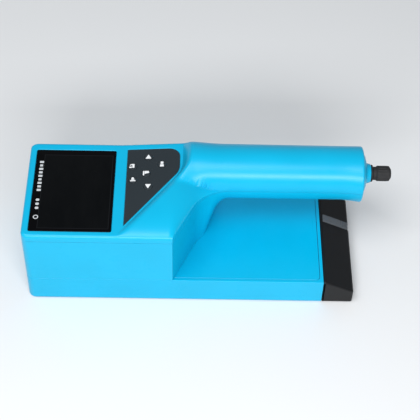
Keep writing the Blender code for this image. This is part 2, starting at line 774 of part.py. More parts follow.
def make_main_board():
    low = 50 * MM
    thickness = 1.6 * MM
    left, right = x_of(6 * MM), x_of(110 * MM)
    board = rounded_box(
        "main_board", (left, -38 * MM, low), (right, 38 * MM, low + thickness), 2 * MM, board_laminate(), 2
    )
    for u, y in CASE_SCREWS:
        cut(board, tower("way", u, y, low - 2 * MM, low + 4 * MM, POST_RADIUS + 2 * GAP))
    seat = low + thickness + GAP
    corners = ((x_of(20 * MM), -16 * MM, seat), (x_of(52 * MM), 14 * MM, seat + 3 * MM))
    shield = rounded_box("processor_shield", *corners, 1 * MM, steel(), 2)
    round_edges(shield, 0.4 * MM, 1)
    corners = ((x_of(60 * MM), 4 * MM, seat), (x_of(72 * MM), 14 * MM, seat + 1.2 * MM))
    box("memory_chip", *corners, black_plastic())
    box(
        "ribbon_connector",
        (x_of(60 * MM), -22 * MM, seat),
        (x_of(64 * MM), -2 * MM, seat + 2.4 * MM),
        black_plastic(),
    )
    tower("buzzer", 84 * MM, -22 * MM, seat, seat + 6 * MM, 6 * MM, black_plastic())
    under = low - GAP
    box(
        "power_connector",
        (x_of(96 * MM), -6 * MM, under - 5 * MM),
        (x_of(104 * MM), 6 * MM, under),
        black_plastic(),
    )
    tower("clock_cell", 36 * MM, 6 * MM, under - 3.2 * MM, under, 8 * MM, steel())


def make_reader_parts():
    """In the base: the reader's board, the coil that powers and reads a chip, and the ferrite above it."""
    floor = WALL + GAP
    left, right = x_of(14 * MM), x_of(140 * MM)
    coil = ring_plate(
        "antenna_coil", (left, -32 * MM, floor), (right, 32 * MM, floor + 4 * MM), 5 * MM, 12 * MM, copper()
    )
    round_edges(coil, 0.8 * MM, 1)
    inside = 5 * MM + 4 * GAP
    rounded_box(
        "antenna_former",
        (left + inside, inside - 32 * MM, floor),
        (right - inside, 32 * MM - inside, floor + 3 * MM),
        12 * MM,
        black_plastic(),
        3,
    )
    low = floor + 4 * MM + GAP
    rounded_box(
        "ferrite_sheet", (left, -30 * MM, low), (right, 30 * MM, low + 1 * MM), 10 * MM, ferrite(), 3
    )
    low = low + 1 * MM + 3 * MM
    rounded_box(
        "reader_board", (left + 8 * MM, -28 * MM, low), (x_of(92 * MM), 28 * MM, low + 1.6 * MM), 2 * MM,
        board_laminate(), 2,
    )
    seat = low + 1.6 * MM + GAP
    corners = ((x_of(34 * MM), -12 * MM, seat), (x_of(62 * MM), 12 * MM, seat + 2.6 * MM))
    shield = rounded_box("reader_shield", *corners, 1 * MM, steel(), 2)
    round_edges(shield, 0.4 * MM, 1)


def make_battery():
    """A sleeved pack behind the door, and the two spring contacts that it presses on."""
    low = WALL + GAP
    right = x_of(BASE_LENGTH) + 1.5 * MM
    left = right - BATTERY_LENGTH
    half = BATTERY_WIDTH / 2
    pack = box("battery_pack", (left, -half, low), (right, half, low + BATTERY_HEIGHT), grey_plastic())
    round_edges(pack, 2.5 * MM, 2)
    for name, y in (("contact_positive", 12 * MM), ("contact_negative", -12 * MM)):
        foot = left - GAP
        outline = [
            (foot, low + 10 * MM),
            (foot - 1.6 * MM, low + 6 * MM),
            (foot - 1.6 * MM, low),
            (foot - 3.6 * MM, low),
            (foot - 3.6 * MM, low + 0.6 * MM),
            (foot - 2.2 * MM, low + 0.6 * MM),
            (foot - 2.2 * MM, low + 6.2 * MM),
            (foot - 0.6 * MM, low + 10.2 * MM),
            (foot - 2.2 * MM, low + 13 * MM),
            (foot - 1.6 * MM, low + 13.4 * MM),
        ]
        side_prism(name, outline, y - 2.5 * MM, y + 2.5 * MM, gold())


# Battery door and its latch.


def door_outline(u):
    """The door's side view: a short level edge next to the base, then a slope down to a blunt toe."""
    right = u + DOOR_LENGTH
    return [
        (x_of(u), 0),
        (x_of(right - 1.5 * MM), 0),
        (x_of(right), 1.5 * MM),
        (x_of(right), DOOR_TOE_Z - 2 * MM),
        (x_of(right - DOOR_TOE_BACK), DOOR_TOE_Z),
        (x_of(u + DOOR_LIP), BASE_Z - 0.5 * MM),
        (x_of(u + DOOR_LIP / 2), BASE_Z),
        (x_of(u), BASE_Z),
    ]


def latch_slope():
    """Direction of the door's sloping top, as an angle below the horizontal."""
    return math.atan2(BASE_Z - 0.5 * MM - DOOR_TOE_Z, DOOR_LENGTH - DOOR_LIP - DOOR_TOE_BACK)


def make_battery_door():
    start = BASE_LENGTH + GAP
    door = side_prism("battery_door", door_outline(start), -WIDTH / 2, WIDTH / 2, black_plastic())
    round_edges(door, 1 * MM, 2, 60)
    bay = BATTERY_WIDTH / 2 + 1 * MM
    pocket_top = WALL + BATTERY_HEIGHT + 1 * MM
    pocket = box("pocket", (x_of(start) - 1 * MM, -bay, WALL), (x_of(start + DOOR_LIP), bay, pocket_top))
    pin_hole = latch_rod("pin_hole", 6 * MM, LATCH_PIN_RADIUS + LATCH_PIN_SLACK)
    return put_origin(cut(door, pocket, latch_slot(), pin_hole), (x_of(start), 0, 0))


def latch_pivot(aside):
    return (x_of(BASE_LENGTH + 12 * MM), LATCH_Y + aside, 15.5 * MM)


def latch_rod(name, reach, radius, look=None):
    """A rod along the latch's pin, reaching this far to each side of the latch's middle."""
    return rod(name, latch_pivot(-reach), latch_pivot(reach), radius, look)


def on_slope(corners):
    """Turns (along the slope, out of the slope) pairs, counted from the pivot, into XZ points."""
    slope = latch_slope()
    pivot = Vector(latch_pivot(0))
    along = Vector((math.cos(slope), 0, -math.sin(slope)))
    out = Vector((math.sin(slope), 0, math.cos(slope)))
    points = [pivot + along * a + out * b for a, b in corners]
    return [(point.x, point.z) for point in points]


def upright(a, b, rise):
    """The point this far straight above the slope coordinates (a, b)."""
    slope = latch_slope()
    return (a - rise * math.sin(slope), b + rise * math.cos(slope))


def latch_slot():
    """The slot that the latch lies in: open above and through the toe, deep enough for it to rock."""
    floor, hub_floor, hub = -0.2 * MM, -3 * MM, 3.7 * MM
    back, front = LATCH_BACK + 0.4 * MM, 16 * MM
    corners = [upright(back, floor, 20 * MM), (back, floor)]
    corners += [(-hub, floor), (-hub, hub_floor), (hub, hub_floor), (hub, floor)]
    corners += [(front, floor), (front, 18 * MM)]
    half = LATCH_WIDTH / 2 + GAP
    return side_prism("slot", on_slope(corners), LATCH_Y - half, LATCH_Y + half)


def make_door_latch():
    """A rocking lever on a pin across the door. Pressing its outer end lifts its upper end."""
    low, high, hub, hub_low = 1.4 * MM, 4 * MM, 3 * MM, -2.2 * MM
    corners = [upright(LATCH_BACK, low, (high - low) / math.cos(latch_slope())), (LATCH_BACK, low)]
    corners += [(-hub, low), (-hub, hub_low), (hub, hub_low), (hub, low)]
    corners += [(LATCH_FRONT, low), (LATCH_FRONT, high)]
    half = LATCH_WIDTH / 2
    latch = side_prism("door_latch", on_slope(corners), LATCH_Y - half, LATCH_Y + half, grey_plastic())
    round_edges(latch, 0.5 * MM, 2)
    bore = latch_rod("bore", 8 * MM, LATCH_PIN_RADIUS + LATCH_PIN_SLACK)
    put_origin(cut(latch, bore), latch_pivot(0))
    latch_rod("latch_pin", 5.6 * MM, LATCH_PIN_RADIUS, steel())


# Charging end.


def make_charging_end():
    centre = (x_of(0), HANDLE_AXIS_Y, PART_Z)
    socket_profile = [
        (HANDLE_END - 9 * MM, 0),
        (HANDLE_END - 9 * MM, SOCKET_RADIUS + 2 * MM),
        (HANDLE_END - 5.4 * MM, SOCKET_RADIUS + 2 * MM),
        (HANDLE_END - 5.4 * MM, SOCKET_RADIUS),
        (BOSS_END + 0.4 * MM, SOCKET_RADIUS),
        (BOSS_END + 0.4 * MM, SOCKET_RADIUS - 1.1 * MM),
        (HANDLE_END - 2 * MM, SOCKET_RADIUS - 1.1 * MM),
        (HANDLE_END - 2 * MM, 0),
    ]
    turned("charge_socket", socket_profile, centre, (1, 0, 0), steel(), 20)
    seat = Vector((x_of(BOSS_END), HANDLE_AXIS_Y, PART_Z))
    out = Vector((1, 0, 0))
    ring = rod("socket_ring", seat + out * GAP, seat + out * 1.5 * MM, 6.4 * MM, soft_rubber())
    cut(ring, rod("bore", seat, seat + out * 5 * MM, SOCKET_RADIUS + GAP))
    stem = SOCKET_RADIUS - 1.1 * MM - GAP
    start = BOSS_END + 1.5 * MM + GAP
    cap_profile = [
        (HANDLE_END + 2 * MM, 0),
        (HANDLE_END + 2 * MM, stem - 0.3 * MM),
        (HANDLE_END + 2.6 * MM, stem),
        (start, stem),
        (start, CAP_RADIUS - 0.8 * MM),
        (start + 2.4 * MM, CAP_RADIUS - 0.8 * MM),
        (start + 3.2 * MM, CAP_RADIUS),
        (LENGTH - 2.6 * MM, CAP_RADIUS),
        (LENGTH - 0.9 * MM, CAP_RADIUS - 1.2 * MM),
        (LENGTH - 0.2 * MM, CAP_RADIUS - 3 * MM),
        (LENGTH, 0),
    ]
    cap = turned("dust_cap", cap_profile, centre, (1, 0, 0), soft_rubber())
    put_origin(cap, (x_of(start), HANDLE_AXIS_Y, PART_Z))


# Wiring and fasteners.


def make_leads():
    charge_route = [
        (x_of(HANDLE_END - 10.6 * MM), HANDLE_AXIS_Y, PART_Z),
        (x_of(232 * MM), HANDLE_AXIS_Y + 8 * MM, PART_Z - 1 * MM),
        (x_of(210 * MM), HANDLE_AXIS_Y + 9 * MM, PART_Z - 2 * MM),
        (x_of(168 * MM), HANDLE_AXIS_Y + 9 * MM, PART_Z - 2 * MM),
        (x_of(132 * MM), HANDLE_AXIS_Y, 60 * MM),
        (x_of(113.5 * MM), 6 * MM, 47 * MM),
        (x_of(105 * MM), 2 * MM, 46.5 * MM),
    ]
    lead("charge_lead", charge_route, 1.6 * MM, soft_rubber())
    antenna_route = [
        (x_of(98 * MM), 0, 43.6 * MM),
        (x_of(98 * MM), 0, 34 * MM),
        (x_of(98 * MM), 0, 24 * MM),
        (x_of(96 * MM), 0, 14 * MM),
        (x_of(93 * MM), 0, 12 * MM),
    ]
    lead("antenna_lead", antenna_route, 1.2 * MM, soft_rubber())


def make_screw(name, u, y, seat, length):
    """A cross-head screw pointing up: the head's underside is seen from below."""
    profile = [
        (seat, 0),
        (seat, SCREW_HEAD_RADIUS - 0.5 * MM),
        (seat + 0.5 * MM, SCREW_HEAD_RADIUS),
        (seat + SCREW_HEAD_HEIGHT, SCREW_HEAD_RADIUS),
        (seat + SCREW_HEAD_HEIGHT, SCREW_RADIUS),
        (seat + length, SCREW_RADIUS),
        (seat + length + 0.8 * MM, 0),
    ]
    screw = turned(name, profile, (x_of(u), y, 0), (0, 0, 1), steel(), 12)
    arm, width, depth = 1.6 * MM, 0.35 * MM, 1 * MM
    for reach_x, reach_y in ((arm, width), (width, arm)):
        low = (x_of(u) - reach_x, y - reach_y, seat - 1 * MM)
        high = (x_of(u) + reach_x, y + reach_y, seat + depth)
        cut(screw, box("cross", low, high))


def make_screws():
    for i, (u, y) in enumerate(CASE_SCREWS, 1):
        make_screw(f"case_screw_{i}", u, y, GAP, 70 * MM)
    for i, (u, y) in enumerate(COVER_SCREWS, 1):
        make_screw(f"cover_screw_{i}", u, y, GAP, 20.5 * MM)
    for i, u in enumerate(HANDLE_SCREWS, 1):
        bottom = PART_Z - handle_radius(u)
        make_screw(f"handle_screw_{i}", u, HANDLE_AXIS_Y, bottom + GAP, 27 * MM)


def main():
    for obj in list(bpy.data.objects):
        bpy.data.objects.remove(obj)
    make_top_shell()
    make_body_shell()
    make_base_tray()
    make_base_cover()
    make_end_cap()
    make_screen_window()
    make_screen_stack()
    make_keypad_overlay()
    for name, (u, y) in KEYS.items():
        make_key(name, u, y)
    make_key_support()
    make_main_board()
    make_reader_parts()
    make_battery()
    make_battery_door()
    make_door_latch()
    make_charging_end()
    make_leads()
    make_screws()


main()
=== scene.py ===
"""Looks for the handheld microchip scanner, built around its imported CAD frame.

Lengths are in metres. Stations along the scanner, called u, are counted from the head's left end.
"""

import math

import bmesh
import bpy
from mathutils import Matrix, Vector


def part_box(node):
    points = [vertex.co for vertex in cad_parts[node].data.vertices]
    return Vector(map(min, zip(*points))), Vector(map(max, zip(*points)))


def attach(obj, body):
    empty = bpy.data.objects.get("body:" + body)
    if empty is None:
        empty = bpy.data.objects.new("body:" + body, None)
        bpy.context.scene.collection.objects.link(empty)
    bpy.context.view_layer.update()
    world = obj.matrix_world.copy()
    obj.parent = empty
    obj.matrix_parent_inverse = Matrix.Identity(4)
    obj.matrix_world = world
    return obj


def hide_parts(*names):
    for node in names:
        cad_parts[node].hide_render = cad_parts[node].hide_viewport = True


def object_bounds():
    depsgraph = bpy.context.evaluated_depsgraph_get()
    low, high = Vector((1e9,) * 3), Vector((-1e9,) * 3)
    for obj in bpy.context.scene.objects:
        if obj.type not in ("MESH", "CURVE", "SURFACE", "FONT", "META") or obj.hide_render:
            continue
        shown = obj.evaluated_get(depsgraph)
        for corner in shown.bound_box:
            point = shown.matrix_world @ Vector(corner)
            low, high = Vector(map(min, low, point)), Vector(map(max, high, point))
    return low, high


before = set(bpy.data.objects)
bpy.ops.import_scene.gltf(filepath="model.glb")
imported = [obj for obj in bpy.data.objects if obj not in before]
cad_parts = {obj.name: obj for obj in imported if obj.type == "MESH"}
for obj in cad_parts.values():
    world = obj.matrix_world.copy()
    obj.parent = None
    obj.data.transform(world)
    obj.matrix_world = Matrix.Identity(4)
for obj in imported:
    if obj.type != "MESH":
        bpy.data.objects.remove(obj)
cad_low, cad_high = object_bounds()

MM = 0.001

# The dimensions that drive the CAD source, repeated here for the finer shells.
LENGTH = cad_high.x - cad_low.x
WIDTH = 90 * MM
FACE_Z = 74 * MM
PART_Z = 68 * MM
BASE_Z = 24 * MM
BASE_LENGTH = 220 * MM
WALL = 2.4 * MM
GAP = 0.3 * MM
LAND = 0.8 * MM
EDGE_RADIUS = 2.5 * MM
CORNER_RADIUS = 5.5 * MM
LEAN_START = 69 * MM
LEAN = 0.075

HANDLE_END = 248 * MM
HANDLE_RADIUS_NECK = 20.0 * MM
HANDLE_RADIUS_END = 19.8 * MM
NECK_START = 108 * MM
NECK_ANGLE = math.radians(65)
NECK_FILLET = 29 * MM
HANDLE_AXIS_Y = WIDTH / 2 - HANDLE_RADIUS_NECK
SLANT_RISE = WIDTH - 2 * HANDLE_RADIUS_NECK - NECK_FILLET * (1 - math.cos(NECK_ANGLE))
SLANT_END = NECK_START + SLANT_RISE / math.tan(NECK_ANGLE)
NECK_END = SLANT_END + NECK_FILLET * math.sin(NECK_ANGLE)
NECK_RISE = 8 * MM
NECK_FADE = 38 * MM
NECK_BLEND = 4 * MM
WEB_HEIGHT = 10.5 * MM
WEB_POWER = 2.6
FLARE_LENGTH = 14 * MM
FLARE = 1.6 * MM
END_ROUND = 1.6 * MM

WINDOW_LEDGE = 3 * MM
KEYPAD_LEFT, KEYPAD_RIGHT = 73 * MM, 112 * MM
KEYPAD_FAR, KEYPAD_SHOULDER, KEYPAD_TIP = 38.8 * MM, 17 * MM, -33.5 * MM
KEYPAD_DEPTH = 1.2 * MM
KEYPAD_THICKNESS = 0.8 * MM
SKIN_STEP = 0.1 * MM
KEY_PROUD = 0.6 * MM          # to the top of a key's dome
PLUG_RADIUS = 15.2 * MM
DOOR_LIP = 2.5 * MM
DOOR_TOE_Z = 14 * MM
DOOR_TOE_BACK = 1.6 * MM
WINDOW_DEPTH = 1.5 * MM
KEY_RADIUS = 3.2 * MM
KEY_FLANGE_RADIUS = 4.3 * MM
SOFT_EDGE = 0.35 * MM        # rounding of the shell's edges around the window and the keypad
POST_RADIUS = 4 * MM
SCREW_SEAT = 3.2 * MM
SCREW_HOLE = 1.8 * MM
SCREW_HEAD_RADIUS = 2.9 * MM
SCREW_HEAD_HEIGHT = 2.2 * MM
SCREW_RADIUS = 1.5 * MM
SOCKET_RADIUS = 3.4 * MM
SOCKET_BORE = 2.3 * MM
PIN_RADIUS = 0.8 * MM
PIN_BORE = 0.85 * MM
LATCH_BACK, LATCH_FRONT = -11.6 * MM, 10.3 * MM   # its ends, along the slope from the pin

KEY_NODES = ("key_up", "key_enter", "key_down", "key_back", "key_light", "key_power")


def x_of(u):
    """World X of a station counted from the head's left end."""
    return u - LENGTH / 2


def middle(node):
    low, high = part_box(node)
    return (low + high) / 2


# Materials. Each is a Principled shader with noise-driven colour, roughness and bump in object space.


def new_look(name, roughness=0.4, metallic=0.0):
    """A new material and its tree, with the numbers that are the same all over set on the shader."""
    made = bpy.data.materials.new(name)
    made.use_nodes = True
    shader = made.node_tree.nodes["Principled BSDF"]
    shader.inputs["Roughness"].default_value = roughness
    shader.inputs["Metallic"].default_value = metallic
    return made, made.node_tree, shader


def node(tree, kind, settings=None, **inputs):
    """Adds a node. An input is given a value, or the output that feeds it."""
    made = tree.nodes.new("ShaderNode" + kind)
    for name, value in (settings or {}).items():
        setattr(made, name, value)
    for name, value in inputs.items():
        feed(tree, made.inputs[name.replace("_", " ")], value)
    return made


def feed(tree, socket, value):
    if isinstance(value, bpy.types.NodeSocket):
        tree.links.new(value, socket)
    else:
        socket.default_value = value


def place(tree, stretch=(1, 1, 1)):
    """Object coordinates, stretched along an axis for brushed or wound surfaces."""
    coordinates = node(tree, "TexCoord").outputs["Object"]
    return node(tree, "Mapping", Vector=coordinates, Scale=stretch).outputs["Vector"]


def noise(tree, vector, scale, detail=3.0, roughness=0.55):
    made = node(tree, "TexNoise", Vector=vector, Scale=scale, Detail=detail, Roughness=roughness)
    return made.outputs["Fac"]


def remap(tree, value, low, high, to_low, to_high):
    """Maps the range low to high onto to_low to to_high."""
    made = node(tree, "MapRange", {"clamp": True}, Value=value)
    for name, number in (("From Min", low), ("From Max", high), ("To Min", to_low), ("To Max", to_high)):
        made.inputs[name].default_value = number
    return made.outputs["Result"]


def arithmetic(tree, operation, first, second=0.0):
    made = node(tree, "Math", {"operation": operation})
    feed(tree, made.inputs[0], first)
    feed(tree, made.inputs[1], second)
    return made.outputs["Value"]


def mix(tree, factor, first, second):
    """Blends two colours, or outputs that carry colours."""
    made = node(tree, "Mix", {"data_type": "RGBA"})
    feed(tree, made.inputs[0], factor)
    for socket, colour in ((made.inputs[6], first), (made.inputs[7], second)):
        feed(tree, socket, colour if isinstance(colour, bpy.types.NodeSocket) else (*colour, 1.0))
    return made.outputs[2]


def edge_mask(tree, radius):
    """Near 1 on edges and corners, 0 on flats: how far a rounded normal leans from the true one."""
    soft = node(tree, "Bevel", {"samples": 4}, Radius=radius).outputs["Normal"]
    true = node(tree, "NewGeometry").outputs["Normal"]
    lean = node(tree, "VectorMath", {"operation": "DOT_PRODUCT"})
    tree.links.new(soft, lean.inputs[0])
    tree.links.new(true, lean.inputs[1])
    return remap(tree, lean.outputs["Value"], 0.96, 0.8, 0.0, 1.0)


def bump(tree, shader, *layers):
    """Stacks bump layers of (height output, depth in metres, strength) and feeds the shader's normal."""
    normal = None
    for height, depth, strength in layers:
        made = node(tree, "Bump", Height=height, Distance=depth, Strength=strength)
        if normal:
            tree.links.new(normal, made.inputs["Normal"])
        normal = made.outputs["Normal"]
    tree.links.new(normal, shader.inputs["Normal"])


def moulded(name, colour, roughness, grain=0.25, grain_size=0.35 * MM, wear=0.06, specular=0.4):
    """Moulded plastic: spark-eroded grain, faint mottling, dull handled patches and rubbed edges."""
    made, tree, shader = new_look(name)
    spot = place(tree)
    broad = noise(tree, spot, 22.0, 2.0)
    handled = noise(tree, spot, 70.0, 4.0, 0.6)
    fine = noise(tree, spot, 1 / grain_size, 2.0)
    darker = tuple(0.93 * c for c in colour)
    paler = tuple(c + wear * (1 - c) for c in colour)
    mottled = mix(tree, remap(tree, broad, 0.3, 0.7, 0.0, 1.0), darker, colour)
    worn = mix(tree, arithmetic(tree, "MULTIPLY", edge_mask(tree, 0.7 * MM), broad), mottled, paler)
    tree.links.new(worn, shader.inputs["Base Color"])
    dull = remap(tree, handled, 0.4, 0.75, roughness - 0.01, roughness + 0.05)
    grainy = arithmetic(tree, "ADD", dull, remap(tree, fine, 0.3, 0.7, -0.03, 0.03))
    tree.links.new(grainy, shader.inputs["Roughness"])
    shader.inputs["Specular IOR Level"].default_value = specular
    bump(tree, shader, (fine, 0.04 * MM, grain))
    return made


def rubber(name, colour):
    """Matt rubber: a soft bloom of dust over a fine grain."""
    made, tree, shader = new_look(name)
    spot = place(tree)
    dust = noise(tree, spot, 220.0, 5.0, 0.7)
    fine = noise(tree, spot, 2600.0, 2.0)
    dusty = mix(tree, remap(tree, dust, 0.5, 0.8, 0.0, 0.3), colour, (0.06, 0.06, 0.06))
    tree.links.new(dusty, shader.inputs["Base Color"])
    tree.links.new(remap(tree, dust, 0.3, 0.7, 0.6, 0.85), shader.inputs["Roughness"])
    bump(tree, shader, (fine, 0.05 * MM, 0.4))
    return made


def glass(name, low, high):
    """Tinted window: a black printed border, a paler display area, a thin line between, faint smears."""
    made, tree, shader = new_look(name)
    spot = place(tree)
    axes = node(tree, "SeparateXYZ", Vector=spot).outputs
    centre, half = (low + high) / 2, (high - low) / 2
    beyond = []
    for axis, letter in ((0, "X"), (1, "Y")):
        away = arithmetic(tree, "ABSOLUTE", arithmetic(tree, "SUBTRACT", axes[letter], centre[axis]))
        beyond.append(arithmetic(tree, "SUBTRACT", away, half[axis]))
    outside = arithmetic(tree, "MAXIMUM", *beyond)
    border = remap(tree, outside, -0.1 * MM, 0.1 * MM, 0.0, 1.0)
    line = remap(tree, arithmetic(tree, "ABSOLUTE", outside), 0.0, 0.35 * MM, 1.0, 0.0)
    smears = noise(tree, place(tree, (60, 18, 30)), 1.0, 5.0, 0.7)
    smeared = remap(tree, smears, 0.4, 0.7, 0.0, 1.0)
    display = mix(tree, smeared, (0.0015, 0.002, 0.0025), (0.003, 0.0035, 0.004))
    printed = mix(tree, border, display, (0.001, 0.001, 0.0015))
    lined = mix(tree, arithmetic(tree, "MULTIPLY", line, 0.5), printed, (0.02, 0.022, 0.025))
    tree.links.new(lined, shader.inputs["Base Color"])
    tree.links.new(remap(tree, smears, 0.5, 0.75, 0.06, 0.16), shader.inputs["Roughness"])
    shader.inputs["Specular IOR Level"].default_value = 0.1
    bump(tree, shader, (noise(tree, spot, 90.0, 1.0), 0.02 * MM, 0.1))
    return made


def ink(name, colour):
    """Screen-printed ink: a few pinholes and an uneven edge of cover."""
    made, tree, shader = new_look(name, 0.5)
    cover = noise(tree, place(tree), 1800.0, 3.0)
    worn = mix(tree, remap(tree, cover, 0.62, 0.75, 0.0, 0.5), colour, tuple(0.4 * c for c in colour))
    tree.links.new(worn, shader.inputs["Base Color"])
    tree.links.new(remap(tree, cover, 0.3, 0.7, 0.4, 0.6), shader.inputs["Roughness"])
    bump(tree, shader, (cover, 0.02 * MM, 0.2))
    return made


def metal(name, colour, roughness, stretch, lines=900.0, tarnish=(0.2, 0.18, 0.16)):
    """Brushed, drawn or wound metal: streaks across one direction, with blotches of tarnish."""
    made, tree, shader = new_look(name, roughness, 1.0)
    streaks = noise(tree, place(tree, stretch), lines, 3.0)
    blotches = noise(tree, place(tree), 130.0, 4.0, 0.65)
    stained = mix(tree, remap(tree, blotches, 0.55, 0.8, 0.0, 0.5), colour, tarnish)
    streaked = mix(tree, remap(tree, streaks, 0.3, 0.7, 0.0, 0.25), stained, tuple(0.6 * c for c in colour))
    tree.links.new(streaked, shader.inputs["Base Color"])
    dull = remap(tree, streaks, 0.3, 0.7, roughness - 0.08, roughness + 0.12)
    tree.links.new(dull, shader.inputs["Roughness"])
    bump(tree, shader, (streaks, 0.02 * MM, 0.3))
    return made


def laminate(name):
    """Circuit board: green mask over square-cornered copper tracks, with plated dots."""
    made, tree, shader = new_look(name)
    spot = place(tree)
    dots = node(tree, "TexVoronoi", Vector=spot, Scale=420.0).outputs["Distance"]
    brick = node(tree, "TexBrick", Vector=spot, Scale=300.0, Mortar_Size=0.06).outputs["Fac"]
    mask = mix(tree, remap(tree, brick, 0.0, 1.0, 0.0, 0.8), (0.015, 0.12, 0.05), (0.03, 0.2, 0.08))
    pads = remap(tree, dots, 0.12, 0.16, 1.0, 0.0)
    plated = mix(tree, pads, mask, (0.72, 0.62, 0.36))
    tree.links.new(plated, shader.inputs["Base Color"])
    tree.links.new(remap(tree, noise(tree, spot, 600.0), 0.3, 0.7, 0.3, 0.5), shader.inputs["Roughness"])
    bump(tree, shader, (brick, 0.03 * MM, 0.5))
    return made


# Meshes and Booleans.


def finish_mesh(name, graph, look, sharp=35):
    """Puts a bmesh into the scene as one named object, shaded smooth across its round faces."""
    bmesh.ops.recalc_face_normals(graph, faces=graph.faces)
    mesh = bpy.data.meshes.new(name)
    graph.to_mesh(mesh)
    graph.free()
    mesh.shade_smooth()
    mesh.set_sharp_from_angle(angle=math.radians(sharp))
    obj = bpy.data.objects.new(name, mesh)
    if look:
        mesh.materials.append(look)
    bpy.context.scene.collection.objects.link(obj)
    return obj


def combine(target, tools, operation):
    """Applies one Boolean per tool to the target and removes the tools."""
    for tool in tools:
        modifier = target.modifiers.new(operation.lower(), "BOOLEAN")
        modifier.operation = operation
        modifier.solver = "EXACT"
        modifier.object = tool
        bpy.context.view_layer.update()
        graph = bpy.context.evaluated_depsgraph_get()
        mesh = bpy.data.meshes.new_from_object(target.evaluated_get(graph))
        target.modifiers.clear()
        target.data = mesh
        bpy.data.objects.remove(tool)
    target.data.shade_smooth()
    target.data.set_sharp_from_angle(angle=math.radians(35))
    return target


def cut(target, *tools):
    return combine(target, tools, "DIFFERENCE")


def join(target, *tools):
    return combine(target, tools, "UNION")


def even_shading(obj):
    """Lets large faces set the shading, so that flats stay flat next to round edges."""
    modifier = obj.modifiers.new("even", "WEIGHTED_NORMAL")
    modifier.keep_sharp = True
    return obj


def rounded(corners, steps=6):
    """A closed outline from (x, y, radius) corners, each turned into an arc."""
    points = []
    for i, (x, y, radius) in enumerate(corners):
        corner = Vector((x, y))
        if radius == 0:
            points.append(corner)
            continue
        back = (Vector(corners[i - 1][:2]) - corner).normalized()
        ahead = (Vector(corners[(i + 1) % len(corners)][:2]) - corner).normalized()
        half = back.angle(ahead) / 2
        centre = corner + (back + ahead).normalized() * radius / math.sin(half)
        start = corner + back * radius / math.tan(half)
        end = corner + ahead * radius / math.tan(half)
        for step in range(steps + 1):
            first, last = start - centre, end - centre
            whole = math.pi - 2 * half
            turn = whole * step / steps
            weight = (math.sin(whole - turn) / math.sin(whole), math.sin(turn) / math.sin(whole))
            points.append(centre + first * weight[0] + last * weight[1])
    return points


def rectangle(left, right, near, far, radius):
    return [(left, near, radius), (right, near, radius), (right, far, radius), (left, far, radius)]


def inset(points, distance):
    """Moves a counterclockwise outline inwards, each side by the same distance."""
    moved = []
    for i, point in enumerate(points):
        before = (point - points[i - 1]).normalized()
        after = (points[(i + 1) % len(points)] - point).normalized()
        first, second = Vector((-before.y, before.x)), Vector((-after.y, after.x))
        moved.append(point + (first + second) * distance / (1 + first.dot(second)))
    return moved


def slab(name, outline, low, high, low_round, high_round, look=None, across=False, steps=4):
    """A plate with rounded lower and upper edges. Across, its outline is in XZ and it runs along Y."""
    levels = []
    for i in range(steps + 1):
        turn = math.pi / 2 * i / steps
        levels.append((low_round * (1 - math.sin(turn)), low + low_round * (1 - math.cos(turn))))
    for i in range(steps, -1, -1):
        turn = math.pi / 2 * i / steps
        levels.append((high_round * (1 - math.sin(turn)), high - high_round * (1 - math.cos(turn))))
    levels = list(dict.fromkeys(levels))
    graph = bmesh.new()
    rings = []
    for shrink, level in levels:
        ring = inset(outline, shrink)
        rings.append([graph.verts.new((p.x, level, p.y) if across else (p.x, p.y, level)) for p in ring])
    count = len(outline)
    for ring, following in zip(rings, rings[1:]):
        for i in range(count):
            graph.faces.new((ring[i], ring[(i + 1) % count], following[(i + 1) % count], following[i]))
    graph.faces.new(rings[0])
    graph.faces.new(rings[-1])
    return finish_mesh(name, graph, look)


def turned(name, corners, centre, axis, look=None, segments=64, ribs=None):
    """Turns (distance along the axis, radius, rounding) corners about an axis.

    A profile that starts and ends at radius 0 is solid, any other is a ring.
    ribs is (count, depth, first distance, last distance) of grooves along the axis.
    """
    profile = rounded(corners, 5)
    direction = Vector(axis).normalized()
    side = direction.orthogonal().normalized()
    other = direction.cross(side)
    graph = bmesh.new()
    rings = []
    for along, radius in profile:
        hub = Vector(centre) + direction * along
        if radius < 1e-7:
            rings.append([graph.verts.new(hub)])
            continue
        ring = []
        for i in range(segments):
            turn = 2 * math.pi * i / segments
            reach = radius
            if ribs and ribs[2] <= along <= ribs[3]:
                reach -= ribs[1] * (0.5 - 0.5 * math.cos(ribs[0] * turn))
            ring.append(graph.verts.new(hub + reach * (side * math.cos(turn) + other * math.sin(turn))))
        rings.append(ring)
    solid = len(rings[0]) == 1
    for ring, following in zip(rings, rings[1:] + ([] if solid else rings[:1])):
        for i in range(segments):
            corners_here = [ring[i % len(ring)], ring[(i + 1) % len(ring)]]
            corners_here += [following[(i + 1) % len(following)], following[i % len(following)]]
            if len(ring) + len(following) > 2:
                graph.faces.new(list(dict.fromkeys(corners_here)))
    return finish_mesh(name, graph, look)


def rod(name, start, end, radius, look=None, segments=48):
    along = Vector(end) - Vector(start)
    corners = [(0, 0, 0), (0, radius, 0), (along.length, radius, 0), (along.length, 0, 0)]
    return turned(name, corners, start, along, look, segments)


def seat_piece(piece, body, *nodes, slot=None):
    """Puts a piece on its CAD body in place of these nodes."""
    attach(piece, body)
    if nodes:
        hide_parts(*nodes)
    return piece


# The surfaces above and below the seam, as in the CAD source but on a finer grid.


def ease(value):
    value = min(max(value, 0.0), 1.0)
    return value * value * (3 - 2 * value)


def soft_max(first, second, blend):
    high = max(first, second)
    return high + blend * math.log(math.exp((first - high) / blend) + math.exp((second - high) / blend))


def handle_radius(u):
    share = min(max((u - NECK_END) / (HANDLE_END - NECK_END), 0.0), 1.0)
    return HANDLE_RADIUS_NECK + share * (HANDLE_RADIUS_END - HANDLE_RADIUS_NECK)


